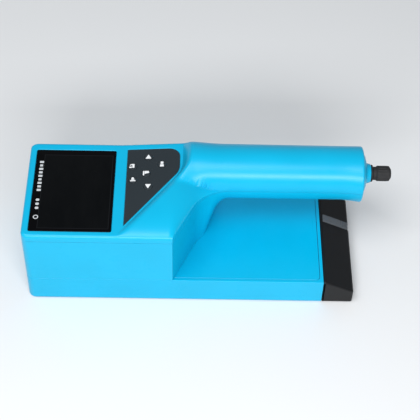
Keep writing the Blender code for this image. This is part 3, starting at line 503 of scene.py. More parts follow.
def flare(u):
    return FLARE * ease((u - HANDLE_END + FLARE_LENGTH) / FLARE_LENGTH)


def lean(u):
    """How far the keypad's part of the face rises toward the neck."""
    return LEAN * max(u - LEAN_START, 0.0)


def tilt(obj):
    """Shears an object up with the leaning face. Its upright walls stay upright."""
    for vert in obj.data.vertices:
        vert.co.z += lean(vert.co.x + LENGTH / 2)
    return obj


def corner_loss(u):
    """How much narrower the head is, each side, inside its rounded left corners."""
    rest = CORNER_RADIUS - max(u, 0.0)
    if rest <= 0:
        return 0.0
    return CORNER_RADIUS - math.sqrt(CORNER_RADIUS ** 2 - rest ** 2)


def far_edge(u):
    if u < NECK_START:
        return WIDTH / 2 - corner_loss(u)
    return HANDLE_AXIS_Y + handle_radius(u)


def near_edge(u):
    """Straight along the head, then a slant and a fillet up to the handle's near side."""
    if u < NECK_START:
        return -WIDTH / 2 + corner_loss(u)
    if u < SLANT_END:
        return -WIDTH / 2 + (u - NECK_START) * math.tan(NECK_ANGLE)
    if u < NECK_END:
        centre_y = HANDLE_AXIS_Y - HANDLE_RADIUS_NECK - NECK_FILLET
        return centre_y + math.sqrt(NECK_FILLET ** 2 - (NECK_END - u) ** 2)
    return HANDLE_AXIS_Y - handle_radius(u) - flare(u)


def crease(y):
    """The station where the neck starts to rise: right of the keypad, then along its slanted side."""
    beside = KEYPAD_RIGHT + 2.2 * MM
    slope = (KEYPAD_RIGHT - KEYPAD_LEFT) / (KEYPAD_SHOULDER - KEYPAD_TIP)
    along_slant = beside + (y - KEYPAD_SHOULDER) * slope
    return -soft_max(-beside, -along_slant, 2 * MM)


def edge_drop(distance, radius):
    """How far a rounded edge lies below the face at this distance from the side."""
    if distance >= radius:
        return 0.0
    return radius - math.sqrt(radius ** 2 - (radius - max(distance, 0.0)) ** 2)


def top_height(u, y, depth):
    """Height of the upper shell's surface, or of its hollow where depth is the wall."""
    far, near = far_edge(u) - depth, near_edge(u) + depth
    face = FACE_Z + lean(u) - depth
    radius = max(EDGE_RADIUS - depth, 0.3 * MM)
    side = min(far - y, y - near, u - depth)
    flat = face - edge_drop(side, radius)
    past_crease = u - crease(y) - 2 * depth
    if past_crease <= 0:
        return flat
    fading = 1 - ease((u - NECK_START) / NECK_FADE)
    across = min(abs((2 * y - far - near) / (far - near)), 1.0)
    web = (WEB_HEIGHT - depth) * (1 - across ** WEB_POWER) ** (1 / WEB_POWER)
    bar_far = HANDLE_AXIS_Y + handle_radius(u) - depth
    bar_near = HANDLE_AXIS_Y - handle_radius(u) - flare(u) + depth
    bar_across = (2 * y - bar_far - bar_near) / (bar_far - bar_near)
    openness = ease((HANDLE_AXIS_Y - HANDLE_RADIUS_NECK + depth - near) / (20 * MM))
    squarer = -0.16 * fading if bar_across > 0 else 0.12 * openness
    bar_rise = max(1 - bar_across ** 2, 0.0) ** (0.5 + squarer)
    bar = (handle_radius(u) + flare(u) / 3 - depth - LAND) * bar_rise
    raised = PART_Z + LAND + bar + fading * (soft_max(web, bar, NECK_BLEND) - bar)
    share = math.sin(math.pi / 2 * min(past_crease / NECK_RISE, 1.0))
    return flat + (raised - flat) * share


def grip_stations(end, count):
    """Stations from the neck to the handle's end, closer together where its edge rounds over."""
    last = end - END_ROUND
    straight = [NECK_END + (last - NECK_END) * i / count for i in range(1, count + 1)]
    return straight + [last + END_ROUND * math.sin(math.pi / 2 * i / 6) for i in range(1, 7)]


def upper_column(share, depth, end, count):
    """Plan points from left end to handle's end, this share of the way from the far side to the near one."""
    half = WIDTH / 2 - depth
    start_y = half - 2 * half * share
    turn = crease(start_y)
    last_turn = crease(-half)
    points = []
    rim = [depth + (turn - depth) * 0.06 * (i / 8) ** 2 for i in range(9)]
    kink = min(LEAN_START, 0.92 * turn)
    level = [rim[-1] + (kink - rim[-1]) * i / count for i in range(1, count)]
    leaning = [kink + (turn - kink) * i / count for i in range(count)]
    for u in rim + level + leaning:
        far, near = far_edge(u) - depth, near_edge(u) + depth
        points.append((u, far - share * (far - near)))
    end_far, end_near = far_edge(NECK_END) - depth, near_edge(NECK_END) + depth
    end_y = end_far - share * (end_far - end_near)
    for i in range(3 * count + 1):
        part = (i / (3 * count)) ** 1.15
        outline = near_edge(last_turn + (NECK_END - last_turn) * part) + depth
        following = (outline + half) / (end_near + half)
        drawn_in = ease(part) * (1 - share ** 3) + following * share ** 3
        points.append((turn + (NECK_END - turn) * part, start_y + (end_y - start_y) * drawn_in))
    for u in grip_stations(end, count):
        far, near = far_edge(u) - depth, near_edge(u) + depth
        points.append((u, far - share * (far - near)))
    return points


def close_shell(name, rows, floor_z, look=None):
    """Closes a grid of surface points with straight sides and a flat bottom at floor_z."""
    graph = bmesh.new()
    grid = [[graph.verts.new(point) for point in row] for row in rows]
    for row, following in zip(grid, grid[1:]):
        for i in range(len(row) - 1):
            graph.faces.new((row[i], row[i + 1], following[i + 1], following[i]))
    rim = grid[0] + [row[-1] for row in grid[1:]] + grid[-1][-2::-1] + [row[0] for row in grid[-2:0:-1]]
    feet = [graph.verts.new((vert.co.x, vert.co.y, floor_z)) for vert in rim]
    count = len(rim)
    for i in range(count):
        graph.faces.new((rim[i], rim[(i + 1) % count], feet[(i + 1) % count], feet[i]))
    graph.faces.new(feet)
    return finish_mesh(name, graph, look)


def upper_solid(name, depth, floor_z, end, across_steps, count, look=None):
    """Everything above the seam. The grid's lines run along the crease and along both sides."""
    columns = []
    for j in range(across_steps + 1):
        share = 0.5 - 0.5 * math.cos(math.pi * j / across_steps)
        column = []
        for u, y in upper_column(share, depth, end, count):
            shrink = edge_drop(end - u, END_ROUND)
            drawn_y = HANDLE_AXIS_Y + (y - HANDLE_AXIS_Y) * (1 - shrink / handle_radius(u))
            height = top_height(u, y, depth)
            column.append((x_of(u), drawn_y, PART_Z + (height - PART_Z) * (1 - shrink / handle_radius(u))))
        columns.append(column)
    return close_shell(name, columns, floor_z, look)


def lower_solid(name, depth, top_z, end, around_steps, count, look=None):
    """The head's walls and the handle's lower half: its sections turn from square to round."""
    wall_end, handle_start = 120 * MM - depth, 148 * MM
    corner = [depth + (CORNER_RADIUS - depth) * (1 - math.cos(math.pi / 2 * i / 8)) for i in range(9)]
    head = [CORNER_RADIUS + (NECK_START - CORNER_RADIUS) * i / count for i in range(1, count + 1)]
    neck = [NECK_START + (NECK_END - NECK_START) * i / (3 * count) for i in range(1, 3 * count + 1)]
    rows = []
    for u in corner + head + neck + grip_stations(end, count):
        share = ease((u - wall_end) / (handle_start - wall_end))
        power = 2 + 28 * (1 - share) ** 3
        deep = (FACE_Z * 0.85 - depth) * (1 - share) + (handle_radius(u) + flare(u) - depth) * share
        shrink = edge_drop(end - u, END_ROUND) / handle_radius(u)
        far, near = far_edge(u) - depth, near_edge(u) + depth
        row = []
        for i in range(around_steps + 1):
            turn = math.pi * i / around_steps
            cosine, sine = math.cos(turn), max(math.sin(turn), 0.0)
            y = (far + near) / 2 + (far - near) / 2 * math.copysign(abs(cosine) ** (2 / power), cosine)
            drawn_y = HANDLE_AXIS_Y + (y - HANDLE_AXIS_Y) * (1 - shrink)
            row.append((x_of(u), drawn_y, PART_Z - LAND - (deep - LAND) * (1 - shrink) * sine ** (2 / power)))
        rows.append(row)
    return close_shell(name, rows, top_z, look)


# Shells.


def flared_tool(name, outline, low, high, grow):
    """A cutter whose mouth opens in a quarter round at height high, to soften the edge it leaves."""
    graph = bmesh.new()
    levels = [(0.0, low)]
    for i in range(4):
        turn = math.pi / 2 * i / 3
        levels.append((grow * (1 - math.cos(turn)), high - grow + grow * math.sin(turn)))
    levels.append((grow, high + 3 * MM))
    rings = []
    for wider, level in levels:
        rings.append([graph.verts.new((*point, level)) for point in inset(outline, -wider)])
    count = len(outline)
    for ring, following in zip(rings, rings[1:]):
        for i in range(count):
            graph.faces.new((ring[i], ring[(i + 1) % count], following[(i + 1) % count], following[i]))
    graph.faces.new(rings[0])
    graph.faces.new(rings[-1])
    return finish_mesh(name, graph, None)


def keypad_outline(grow):
    """Left side and tip sharp, shoulder and far right corner rounded."""
    left, right = x_of(KEYPAD_LEFT), x_of(KEYPAD_RIGHT)
    corners = [(left, KEYPAD_TIP, 0), (right, KEYPAD_SHOULDER, 14 * MM), (right, KEYPAD_FAR, 8 * MM)]
    return inset(rounded(corners + [(left, KEYPAD_FAR, 0)], 10), -grow)


def window_outline(grow):
    low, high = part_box("screen_window")
    grow += GAP
    return rounded(rectangle(low.x - grow, high.x + grow, low.y - grow, high.y + grow, 1.5 * MM))


def end_bore():
    """The round hole in the handle's end that both upper shells share."""
    start, end = x_of(HANDLE_END - 2 * WALL), x_of(HANDLE_END + WALL)
    return rod("end_bore", (start, HANDLE_AXIS_Y, PART_Z), (end, HANDLE_AXIS_Y, PART_Z), PLUG_RADIUS + GAP)


def make_top_shell(look):
    shell = upper_solid("shell_top", 0.0, PART_Z, HANDLE_END, 60, 14, look)
    cut(shell, upper_solid("hollow", WALL, PART_Z - 1 * MM, HANDLE_END - WALL, 24, 5))
    cut(shell, flared_tool("pocket", window_outline(0), FACE_Z - WINDOW_DEPTH, FACE_Z, SOFT_EDGE))
    cut(shell, slab("opening", window_outline(-WINDOW_LEDGE), PART_Z - 1 * MM, FACE_Z, 0, 0))
    cut(shell, tilt(flared_tool("recess", keypad_outline(GAP), FACE_Z - KEYPAD_DEPTH, FACE_Z, SOFT_EDGE)))
    for name in KEY_NODES:
        spot = middle(name)
        low, high = (spot.x, spot.y, PART_Z), (spot.x, spot.y, FACE_Z + 5 * MM)
        cut(shell, rod("key_hole", low, high, KEY_RADIUS + GAP))
    cut(shell, end_bore())
    seat_piece(even_shading(shell), "scanner", "top_shell", slot="shell")


def screw_way(name, node_name):
    """Cutter for a screw put in from below: a seat for its head, then a clear hole."""
    low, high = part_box(node_name)
    spot = (low + high) / 2
    seat_top = low.z + SCREW_SEAT - 0.7 * MM
    corners = [(low.z - 4 * MM, 0, 0), (low.z - 4 * MM, SCREW_SEAT, 0), (seat_top, SCREW_SEAT, 0)]
    corners += [(seat_top, SCREW_HOLE, 0), (high.z + 2 * MM, SCREW_HOLE, 0), (high.z + 2 * MM, 0, 0)]
    return turned(name, corners, (spot.x, spot.y, 0), (0, 0, 1))


def make_body_shell(look):
    shell = lower_solid("shell_body", 0.0, PART_Z - GAP, HANDLE_END, 48, 14, look)
    hollow = lower_solid("hollow", WALL, PART_Z + 1 * MM, HANDLE_END - WALL, 20, 5)
    across = rounded(rectangle(cad_low.x - 1 * MM, cad_high.x, -WIDTH, WIDTH, 0))
    cut(shell, hollow, slab("below", across, -20 * MM, BASE_Z + GAP, 0, 0))
    for name in ("handle_screw_1", "handle_screw_2"):
        low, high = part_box(name)
        spot = (low + high) / 2
        foot, head = (spot.x, spot.y, low.z + 1 * MM), (spot.x, spot.y, PART_Z - GAP)
        join(shell, rod("post", foot, head, POST_RADIUS))
        cut(shell, screw_way("way", name))
    cut(shell, end_bore())
    seat_piece(even_shading(shell), "scanner", "body_shell", slot="shell")


def make_base(look):
    """The antenna base: a tray with the flat lid set into it."""
    left, right = x_of(0), x_of(BASE_LENGTH)
    corners = [(left, -WIDTH / 2, CORNER_RADIUS), (right, -WIDTH / 2, 0)]
    corners += [(right, WIDTH / 2, 0), (left, WIDTH / 2, CORNER_RADIUS)]
    tray = slab("base_walls", rounded(corners, 10), 0, BASE_Z, 1.5 * MM, 0.4 * MM, look)
    inner = rectangle(left + WALL, right - WALL, WALL - WIDTH / 2, WIDTH / 2 - WALL, CORNER_RADIUS - WALL)
    cut(tray, slab("inner", rounded(inner), WALL, BASE_Z + 1 * MM, 0, 0))
    low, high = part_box("battery_pack")
    mouth = rectangle(right - 2 * WALL, right + 1 * MM, low.y - GAP, high.y + GAP, 0)
    cut(tray, slab("mouth", rounded(mouth), WALL, high.z + GAP, 0, 0))
    for name in ("case_screw_1", "case_screw_2", "case_screw_3", "case_screw_4"):
        spot = middle(name)
        join(tray, rod("post", (spot.x, spot.y, WALL / 2), (spot.x, spot.y, BASE_Z), POST_RADIUS))
        cut(tray, screw_way("way", name))
    for name in ("cover_screw_1", "cover_screw_2"):
        spot = middle(name)
        foot, head = (spot.x, spot.y, WALL / 2), (spot.x, spot.y, BASE_Z - WALL - 2 * GAP)
        join(tray, rod("post", foot, head, POST_RADIUS))
        cut(tray, screw_way("way", name))
    seat_piece(even_shading(tray), "scanner", "base_tray", slot="shell")
    make_base_cover(look)


def make_base_cover(look):
    low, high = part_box("base_cover")
    outline = rounded(rectangle(low.x, high.x, low.y, high.y, CORNER_RADIUS - WALL))
    cover = slab("base_lid", outline, low.z, high.z, 0.2 * MM, 0.3 * MM, look)
    for name in ("case_screw_3", "case_screw_4"):
        spot = middle(name)
        cut(cover, rod("way", (spot.x, spot.y, 0), (spot.x, spot.y, BASE_Z + 1 * MM), POST_RADIUS + GAP))
    for name in ("cover_screw_1", "cover_screw_2"):
        spot = middle(name)
        cut(cover, rod("pilot", (spot.x, spot.y, 0), (spot.x, spot.y, BASE_Z - 1 * MM), SCREW_HOLE))
    passage = rectangle(x_of(90 * MM), x_of(108 * MM), -12 * MM, 12 * MM, 3 * MM)
    cut(cover, slab("passage", rounded(passage), 0, BASE_Z + 1 * MM, 0, 0))
    seat_piece(even_shading(cover), "scanner", "base_cover", slot="shell")


def make_end_cap(look):
    """The plug of the handle's end, with a stepped boss around the charging socket."""
    low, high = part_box("end_cap")
    inner = low.x + 2 * MM
    face = x_of(HANDLE_END) + 0.6 * MM
    bore = SOCKET_RADIUS + GAP
    corners = [
        (low.x, bore, 0),
        (high.x, bore, 0.3 * MM),
        (high.x, 6.8 * MM, 0.6 * MM),
        (face + 3.2 * MM, 7.6 * MM, 0.4 * MM),
        (face + 2.4 * MM, 8.2 * MM, 0.4 * MM),
        (face + 2.0 * MM, 10.6 * MM, 2 * MM),
        (face + 1.2 * MM, 13.4 * MM, 1.6 * MM),
        (face, PLUG_RADIUS, 0.2 * MM),
        (inner, PLUG_RADIUS, 0),
        (inner, PLUG_RADIUS + 1 * MM, 0),
        (low.x, PLUG_RADIUS + 1 * MM, 0),
    ]
    cap = turned("handle_plug", corners, (0, HANDLE_AXIS_Y, PART_Z), (1, 0, 0), look, 96)
    seat_piece(cap, "scanner", "end_cap", slot="shell")


# Screen and keypad.


def make_window(look):
    low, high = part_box("screen_window")
    outline = rounded(rectangle(low.x, high.x, low.y, high.y, 1.2 * MM))
    window = slab("window_glass", outline, low.z, high.z, 0.1 * MM, 0.2 * MM, look)
    seat_piece(window, "scanner", "screen_window", slot="window")


def make_window_marks(look):
    """A strip of plain bars, dots and a ring printed along the window's left side."""
    low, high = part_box("screen_window")
    x = low.x + 4.4 * MM
    top = high.z + 0.02 * MM
    widths = (3.0, 2.2, 3.0, 2.6, 3.0, 2.2, 3.0, 2.6, 3.0)
    for i, width in enumerate(widths):
        y = 25.5 * MM - i * 3.4 * MM
        bar = rectangle(x - width / 2 * MM, x + width / 2 * MM, y - 1.0 * MM, y + 1.0 * MM, 0.3 * MM)
        mark = slab(f"window_mark_{i + 1}", rounded(bar, 3), high.z - 0.05 * MM, top, 0, 0.02 * MM, look)
        seat_piece(mark, "scanner", slot="window")
    for i in range(3):
        y = (-11 - 3.8 * i) * MM
        bar = rectangle(x - 1.3 * MM, x + 1.3 * MM, y - 1.1 * MM, y + 1.1 * MM, 0.9 * MM)
        mark = slab(f"window_dot_{i + 1}", rounded(bar, 4), high.z - 0.05 * MM, top, 0, 0.02 * MM, look)
        seat_piece(mark, "scanner", slot="window")
    corners = [(high.z - 0.05 * MM, 1.2 * MM, 0), (high.z - 0.05 * MM, 1.9 * MM, 0), (top, 1.9 * MM, 0)]
    ring = turned("window_ring", corners + [(top, 1.2 * MM, 0)], (x, -27 * MM, 0), (0, 0, 1), look, 32)
    seat_piece(ring, "scanner", slot="window")


def make_keypad(look):
    top = FACE_Z - SKIN_STEP
    low = top - KEYPAD_THICKNESS
    film = slab("keypad_film", keypad_outline(0), low, top, 0, 0.12 * MM, look)
    for name in KEY_NODES:
        spot = middle(name)
        below, above = (spot.x, spot.y, low - 1 * MM), (spot.x, spot.y, top + 1 * MM)
        cut(film, rod("hole", below, above, KEY_RADIUS + GAP))
    seat_piece(even_shading(tilt(film)), "scanner", "keypad_overlay", slot="keypad")


def make_key(name, key_look, ink_look):
    """A round key with a shallow dome, its hidden flange, and its printed sign."""
    spot = middle(name)
    ceiling = FACE_Z - WALL - GAP
    top = FACE_Z - SKIN_STEP + KEY_PROUD
    corners = [
        (ceiling - 1 * MM, 0, 0),
        (ceiling - 1 * MM, KEY_FLANGE_RADIUS, 0),
        (ceiling, KEY_FLANGE_RADIUS, 0),
        (ceiling, KEY_RADIUS, 0),
        (top - 0.1 * MM, KEY_RADIUS, 0.35 * MM),
        (top, 0, 0),
    ]
    key = turned(f"{name}_cap", corners, (spot.x, spot.y, 0), (0, 0, 1), key_look, 48)
    seat_piece(tilt(key), f"{name}_body", name, slot="key")
    for i, sign in enumerate(SIGNS[name]):
        corners = [(spot.x + x * SIGN_SIZE, spot.y + y * SIGN_SIZE, r * SIGN_SIZE) for x, y, r in sign]
        outline = rounded(corners, 3)
        mark = slab(f"{name}_sign_{i + 1}", outline, top - 0.25 * MM, top + 0.03 * MM, 0, 0.02 * MM, ink_look)
        seat_piece(tilt(mark), f"{name}_body", slot="key")


# Each key's sign: counterclockwise (x, y, rounding) corners about the key's centre, times SIGN_SIZE.
SIGN_SIZE = 1.15 * MM
SIGNS = {
    "key_up": (((-1.9, -1.6, 0.2), (1.9, -1.6, 0.2), (0.0, 2.0, 0.2)),),
    "key_down": (((0.0, -2.0, 0.2), (1.9, 1.6, 0.2), (-1.9, 1.6, 0.2)),),
    "key_enter": (
        ((-2.0, -1.8, 0.1), (-1.1, -1.8, 0.1), (-1.1, 1.8, 0.1), (-2.0, 1.8, 0.1)),
        ((-0.9, -0.6, 0.1), (2.1, 0.2, 0.2), (1.6, 1.8, 0.2), (-0.9, 1.8, 0.1)),
    ),
    "key_back": (
        ((-2.2, -1.5, 0.1), (-0.5, -1.5, 0.1), (-0.5, -0.4, 0.1), (-2.2, -0.4, 0.1)),
        ((-2.2, 0.6, 0.1), (-0.9, 0.6, 0.1), (-0.9, 2.0, 0.1)),
        (
            (-0.2, -1.4, 0.2),
            (1.1, -1.4, 0.3),
            (1.1, 1.8, 0.3),
            (-0.8, 1.8, 0.2),
            (-0.8, 0.8, 0.1),
            (-0.2, 0.8, 0.1),
        ),
    ),
    "key_light": (
        ((-1.7, -1.4, 0.1), (1.7, -1.4, 0.1), (1.7, -0.5, 0.1), (-1.7, -0.5, 0.1)),
        ((-1.1, -0.2, 0.1), (1.1, -0.2, 0.1), (0.3, 1.9, 0.2), (-0.7, 1.9, 0.2)),
    ),
    "key_power": (
        ((-1.2, -2.1, 0.1), (1.2, -2.1, 0.1), (1.2, -0.3, 0.3), (-1.2, -0.3, 0.3)),
        ((-0.9, 0.1, 0.2), (0.9, 0.1, 0.2), (0.9, 2.1, 0.4), (-0.9, 2.1, 0.4)),
    ),
}


# Battery end.


def make_battery_door(look):
    """A blunt wedge across the base's end, open towards the battery and slotted for its latch."""
    low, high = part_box("battery_door")
    start, right = low.x, high.x
    corners = [
        (start, 0, 0.6 * MM),
        (right, 0, 1.6 * MM),
        (right, DOOR_TOE_Z - DOOR_TOE_BACK * math.tan(latch_slope()), 2.2 * MM),
        (start + 0.6 * DOOR_LIP, BASE_Z, 2 * MM),
        (start, BASE_Z, 0.4 * MM),
    ]
    door = slab("end_door", rounded(corners), low.y, high.y, 1.4 * MM, 1.4 * MM, look, across=True)
    pack_low, pack_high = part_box("battery_pack")
    bay = rectangle(start - 1 * MM, start + DOOR_LIP, pack_low.y - 1 * MM, pack_high.y + 1 * MM, 0)
    cut(door, slab("bay", rounded(bay), WALL, pack_high.z + 0.7 * MM, 0, 0))
    cut(door, latch_slot())
    pin_low, pin_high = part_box("latch_pin")
    pin = (pin_low + pin_high) / 2
    reach = Vector((0, (pin_high.y - pin_low.y) / 2 + 0.4 * MM, 0))
    cut(door, rod("pin_hole", pin - reach, pin + reach, PIN_BORE))
    seat_piece(even_shading(door), "door", "battery_door", slot="black")


def latch_slope():
    """Direction of the door's sloping top, as an angle below the horizontal."""
    low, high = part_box("battery_door")
    return math.atan2(BASE_Z - 0.5 * MM - DOOR_TOE_Z, high.x - low.x - DOOR_LIP - DOOR_TOE_BACK)


def on_slope(corners):
    """Turns (along the slope, out of the slope) pairs, counted from the latch's pin, into XZ points."""
    slope = latch_slope()
    pin = middle("latch_pin")
    along = Vector((math.cos(slope), -math.sin(slope)))
    out = Vector((math.sin(slope), math.cos(slope)))
    return [Vector((pin.x, pin.z)) + along * a + out * b for a, b in corners]


def latch_slot():
    """Cutter for the slot that the latch rocks in: open above and through the door's toe."""
    low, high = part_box("door_latch")
    floor, hub_floor, hub, front = -0.2 * MM, -3 * MM, 3.7 * MM, 16 * MM
    back = on_slope([(LATCH_BACK + 0.4 * MM, floor)])[0]
    outline = [back] + on_slope([(-hub, floor), (-hub, hub_floor), (hub, hub_floor), (hub, floor)])
    outline += on_slope([(front, floor), (front, 18 * MM)]) + [back + Vector((0, 20 * MM))]
    return slab("slot", outline, low.y - GAP, high.y + GAP, 0, 0, None, across=True)


def make_door_latch(look, pin_look):
    """A rocking lever: a flat bar with grip lines near its outer end, and a hub around its pin."""
    low, high, hub, hub_low = 1.4 * MM, 4 * MM, 3 * MM, -2.2 * MM
    slope = latch_slope()
    rise = (high - low) * math.tan(slope)
    corners = [(LATCH_BACK, low, 0.3 * MM), (-hub, low, 0.3 * MM), (-hub, hub_low, 1.2 * MM)]
    corners += [(hub, hub_low, 1.2 * MM), (hub, low, 0.3 * MM), (LATCH_FRONT, low, 0.4 * MM)]
    corners.append((LATCH_FRONT, high, 0.9 * MM))
    for i in range(4):
        right = LATCH_FRONT - (1.6 + 1.5 * i) * MM
        corners += [(right, high, 0.15 * MM), (right - 0.25 * MM, high - 0.5 * MM, 0.15 * MM)]
        corners += [(right - 0.65 * MM, high - 0.5 * MM, 0.15 * MM), (right - 0.9 * MM, high, 0.15 * MM)]
    corners.append((LATCH_BACK - rise, high, 0.9 * MM))
    outline = on_slope([tuple(point) for point in rounded(corners, 3)])
    latch_low, latch_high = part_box("door_latch")
    near, far = latch_low.y, latch_high.y
    lever = slab("latch_lever", outline, near, far, 0.12 * MM, 0.12 * MM, look, across=True, steps=2)
    pin_low, pin_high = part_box("latch_pin")
    pin = (pin_low + pin_high) / 2
    reach = Vector((0, 9 * MM, 0))
    cut(lever, rod("bore", pin - reach, pin + reach, PIN_BORE))
    seat_piece(even_shading(lever), "latch", "door_latch", slot="grey")
    shaft = rod("latch_axle", (pin.x, pin_low.y, pin.z), (pin.x, pin_high.y, pin.z), PIN_RADIUS, pin_look, 32)
    seat_piece(shaft, "door", "latch_pin", slot="steel")


# Charging end.


def make_charging_end(socket_look, ring_look, cap_look):
    centre = (0, HANDLE_AXIS_Y, PART_Z)
    low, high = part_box("charge_socket")
    outer, inner = SOCKET_RADIUS, SOCKET_BORE
    deep = x_of(HANDLE_END) - 2 * MM
    barrel = x_of(HANDLE_END) - 5.4 * MM
    corners = [
        (low.x, 0, 0),
        (low.x, outer + 2 * MM, 0.3 * MM),
        (barrel, outer + 2 * MM, 0.3 * MM),
        (barrel, outer, 0),
        (high.x, outer, 0.2 * MM),
        (high.x, inner, 0.2 * MM),
        (deep, inner, 0),
        (deep, 0, 0),
    ]
    socket = turned("socket", corners, centre, (1, 0, 0), socket_look)
    seat_piece(socket, "scanner", "charge_socket", slot="steel")
    low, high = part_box("socket_ring")
    bore, rim = outer + GAP, (high.y - low.y) / 2
    corners = [(low.x, bore, 0), (high.x, bore, 0.2 * MM), (high.x, rim, 0.5 * MM), (low.x, rim, 0.2 * MM)]
    seal = turned("socket_seal", corners, centre, (1, 0, 0), ring_look)
    seat_piece(seal, "scanner", "socket_ring", slot="rubber")
    make_dust_cap(cap_look)


def make_dust_cap(look):
    """A push-in cap: a stem in the socket, a waist, and a ribbed grip with a rounded nose."""
    low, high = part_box("dust_cap")
    rim = (high.y - low.y) / 2
    stem = 2 * MM
    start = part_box("socket_ring")[1].x + GAP
    grip = start + 3.2 * MM
    corners = [
        (low.x, 0, 0),
        (low.x, stem, 0.5 * MM),
        (start, stem, 0),
        (start, rim - 0.8 * MM, 0.2 * MM),
        (start + 2.2 * MM, rim - 0.8 * MM, 0.4 * MM),
        (grip, rim, 0.4 * MM),
    ]
    corners += [(grip + 0.6 * MM * i, rim, 0) for i in range(1, 12)]
    corners += [(high.x - 1.6 * MM, rim - 0.2 * MM, 0.8 * MM), (high.x - 0.2 * MM, rim - 2.4 * MM, 1 * MM)]
    corners += [(high.x, 0, 0)]
    ribs = (18, 0.35 * MM, grip + 0.4 * MM, grip + 6.2 * MM)
    cap = turned("dust_cap_grip", corners, (0, HANDLE_AXIS_Y, PART_Z), (1, 0, 0), look, 144, ribs)
    seat_piece(cap, "cap", "dust_cap", slot="rubber")


# Fasteners.


def make_screw(node_name, look):
    """A pan-head screw seen from below, with a cross recess in its head."""
    low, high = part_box(node_name)
    spot = (low + high) / 2
    head, shank, tall = SCREW_HEAD_RADIUS, SCREW_RADIUS, SCREW_HEAD_HEIGHT
    corners = [
        (low.z, 0, 0),
        (low.z, head, 0.9 * MM),
        (low.z + tall, head, 0.1 * MM),
        (low.z + tall, shank, 0),
        (high.z - 0.8 * MM, shank, 0.1 * MM),
        (high.z, 0, 0),
    ]
    screw = turned(f"{node_name}_body", corners, (spot.x, spot.y, 0), (0, 0, 1), look, 40)
    arm, width = 1.6 * MM, 0.35 * MM
    for reach_x, reach_y in ((arm, width), (width, arm)):
        bar = rectangle(spot.x - reach_x, spot.x + reach_x, spot.y - reach_y, spot.y + reach_y, 0)
        cut(screw, slab("cross", rounded(bar), low.z - 1 * MM, low.z + 1 * MM, 0, 0))
    seat_piece(screw, "scanner", node_name, slot="steel")


# Finishes of the CAD nodes that stay, most of them inside the case.


def paint_inner_nodes(looks):
    """Gives each CAD node the finish of its record slot, which its plain material is named after."""
    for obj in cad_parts.values():
        slot = obj.data.materials[0].name.split(".")[0]
        obj.data.materials.clear()
        obj.data.materials.append(looks[slot])


# Floor, light and camera.


def make_floor():
    """A pale sweep: flat under the scanner, curving up well behind it."""
    look, tree, shader = new_look("floor", 0.6)
    tone = noise(tree, place(tree), 3.0, 2.0)
    tree.links.new(mix(tree, tone, (0.74, 0.75, 0.76), (0.78, 0.785, 0.79)), shader.inputs["Base Color"])
    graph = bmesh.new()
    rows = []
    for i in range(25):
        turn = math.pi / 2 * max(i - 8, 0) / 16
        y = -3 + 0.5 * min(i, 8) + 1.2 * math.sin(turn)
        rows.append([graph.verts.new((x, y, 1.2 * (1 - math.cos(turn)) - 0.0002)) for x in (-4, 4)])
    for first, second in zip(rows, rows[1:]):
        graph.faces.new((first[0], first[1], second[1], second[0]))
    finish_mesh("floor", graph, look, 60)


def make_light(name, spot, aim, width, height, power, tint=(1, 1, 1)):
    lamp = bpy.data.lights.new(name, "AREA")
    lamp.shape = "RECTANGLE"
    lamp.size, lamp.size_y = width, height
    lamp.energy = power
    lamp.color = tint
    obj = bpy.data.objects.new(name, lamp)
    obj.location = spot
    obj.rotation_euler = (Vector(aim) - Vector(spot)).to_track_quat("-Z", "Y").to_euler()
    bpy.context.scene.collection.objects.link(obj)


def make_lights():
    world = bpy.data.worlds.new("room")
    world.use_nodes = True
    world.node_tree.nodes["Background"].inputs["Color"].default_value = (0.9, 0.95, 1.0, 1)
    world.node_tree.nodes["Background"].inputs["Strength"].default_value = 0.35
    bpy.context.scene.world = world
    centre = (0, 0, 0.06)
    make_light("front", (0.05, -0.95, 0.62), centre, 0.9, 0.22, 9)
    make_light("above", (-0.3, -0.45, 1.35), centre, 1.0, 0.7, 12)


def make_camera():
    """Where the photograph was taken from, with a longer lens so that the scanner fills the frame."""
    spot = Vector((-0.013, -0.585, 0.763))
    aim = Vector((0.0, 0.0, 0.052))
    data = bpy.data.cameras.new("camera")
    data.lens = 106
    data.clip_end = 20
    obj = bpy.data.objects.new("camera", data)
    roll = Matrix.Rotation(math.radians(1.93), 4, "Z")
    turn = (aim - spot).to_track_quat("-Z", "Y").to_matrix().to_4x4()
    obj.matrix_world = Matrix.Translation(spot) @ turn @ roll
    bpy.context.scene.collection.objects.link(obj)
    bpy.context.scene.camera = obj


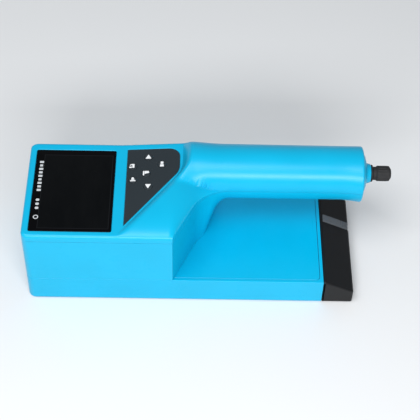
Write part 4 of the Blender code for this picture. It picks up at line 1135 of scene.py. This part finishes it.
def main():
    shell = moulded("shell_plastic", (0.0, 0.43, 0.7), 0.3, specular=0.3)
    black_tone = (0.006, 0.0065, 0.0075)
    black = moulded("black_plastic", black_tone, 0.42, 0.5, 0.5 * MM, wear=0.03, specular=0.25)
    grey = moulded("grey_plastic", (0.09, 0.1, 0.11), 0.36)
    film = moulded("keypad_film", (0.02, 0.028, 0.034), 0.5, grain=0.45, grain_size=0.3 * MM, specular=0.25)
    key = moulded("key_rubber", (0.022, 0.03, 0.036), 0.55, grain=0.3, grain_size=0.3 * MM, specular=0.25)
    soft = rubber("soft_rubber", (0.01, 0.01, 0.011))
    steel = metal("steel", (0.6, 0.6, 0.62), 0.28, (1, 1, 6))
    copper = metal("copper_winding", (0.78, 0.36, 0.18), 0.32, (0.05, 0.05, 8), 700.0, (0.3, 0.12, 0.06))
    plating = metal("contact_plating", (0.85, 0.66, 0.3), 0.25, (1, 8, 1))
    display_low, display_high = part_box("screen_window")
    display_low += Vector((6.2 * MM, 2.6 * MM, 0))
    display_high -= Vector((2.2 * MM, 5 * MM, 0))
    window = glass("window_glass", display_low, display_high)
    ferrite = moulded("ferrite", (0.05, 0.05, 0.055), 0.6, grain=0.6, grain_size=0.6 * MM)
    display = moulded("display_module", (0.02, 0.022, 0.026), 0.2)
    board = laminate("board_laminate")
    print_white = ink("white_ink", (0.82, 0.84, 0.85))
    print_dim = ink("window_ink", (0.55, 0.58, 0.6))
    paint_inner_nodes({
        "shell": shell, "window": window, "display": display, "keypad": film, "key": key, "rubber": soft,
        "black": black, "grey": grey, "steel": steel, "board": board, "copper": copper, "ferrite": ferrite,
        "plating": plating,
    })
    make_top_shell(shell)
    make_body_shell(shell)
    make_base(shell)
    make_end_cap(shell)
    make_window(window)
    make_window_marks(print_dim)
    make_keypad(film)
    for name in KEY_NODES:
        make_key(name, key, print_white)
    make_battery_door(black)
    make_door_latch(grey, steel)
    make_charging_end(steel, soft, soft)
    for name in sorted(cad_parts):
        if "_screw_" in name:
            make_screw(name, steel)
    make_floor()
    make_lights()
    make_camera()
    bpy.context.scene.view_settings.view_transform = "Standard"


main()
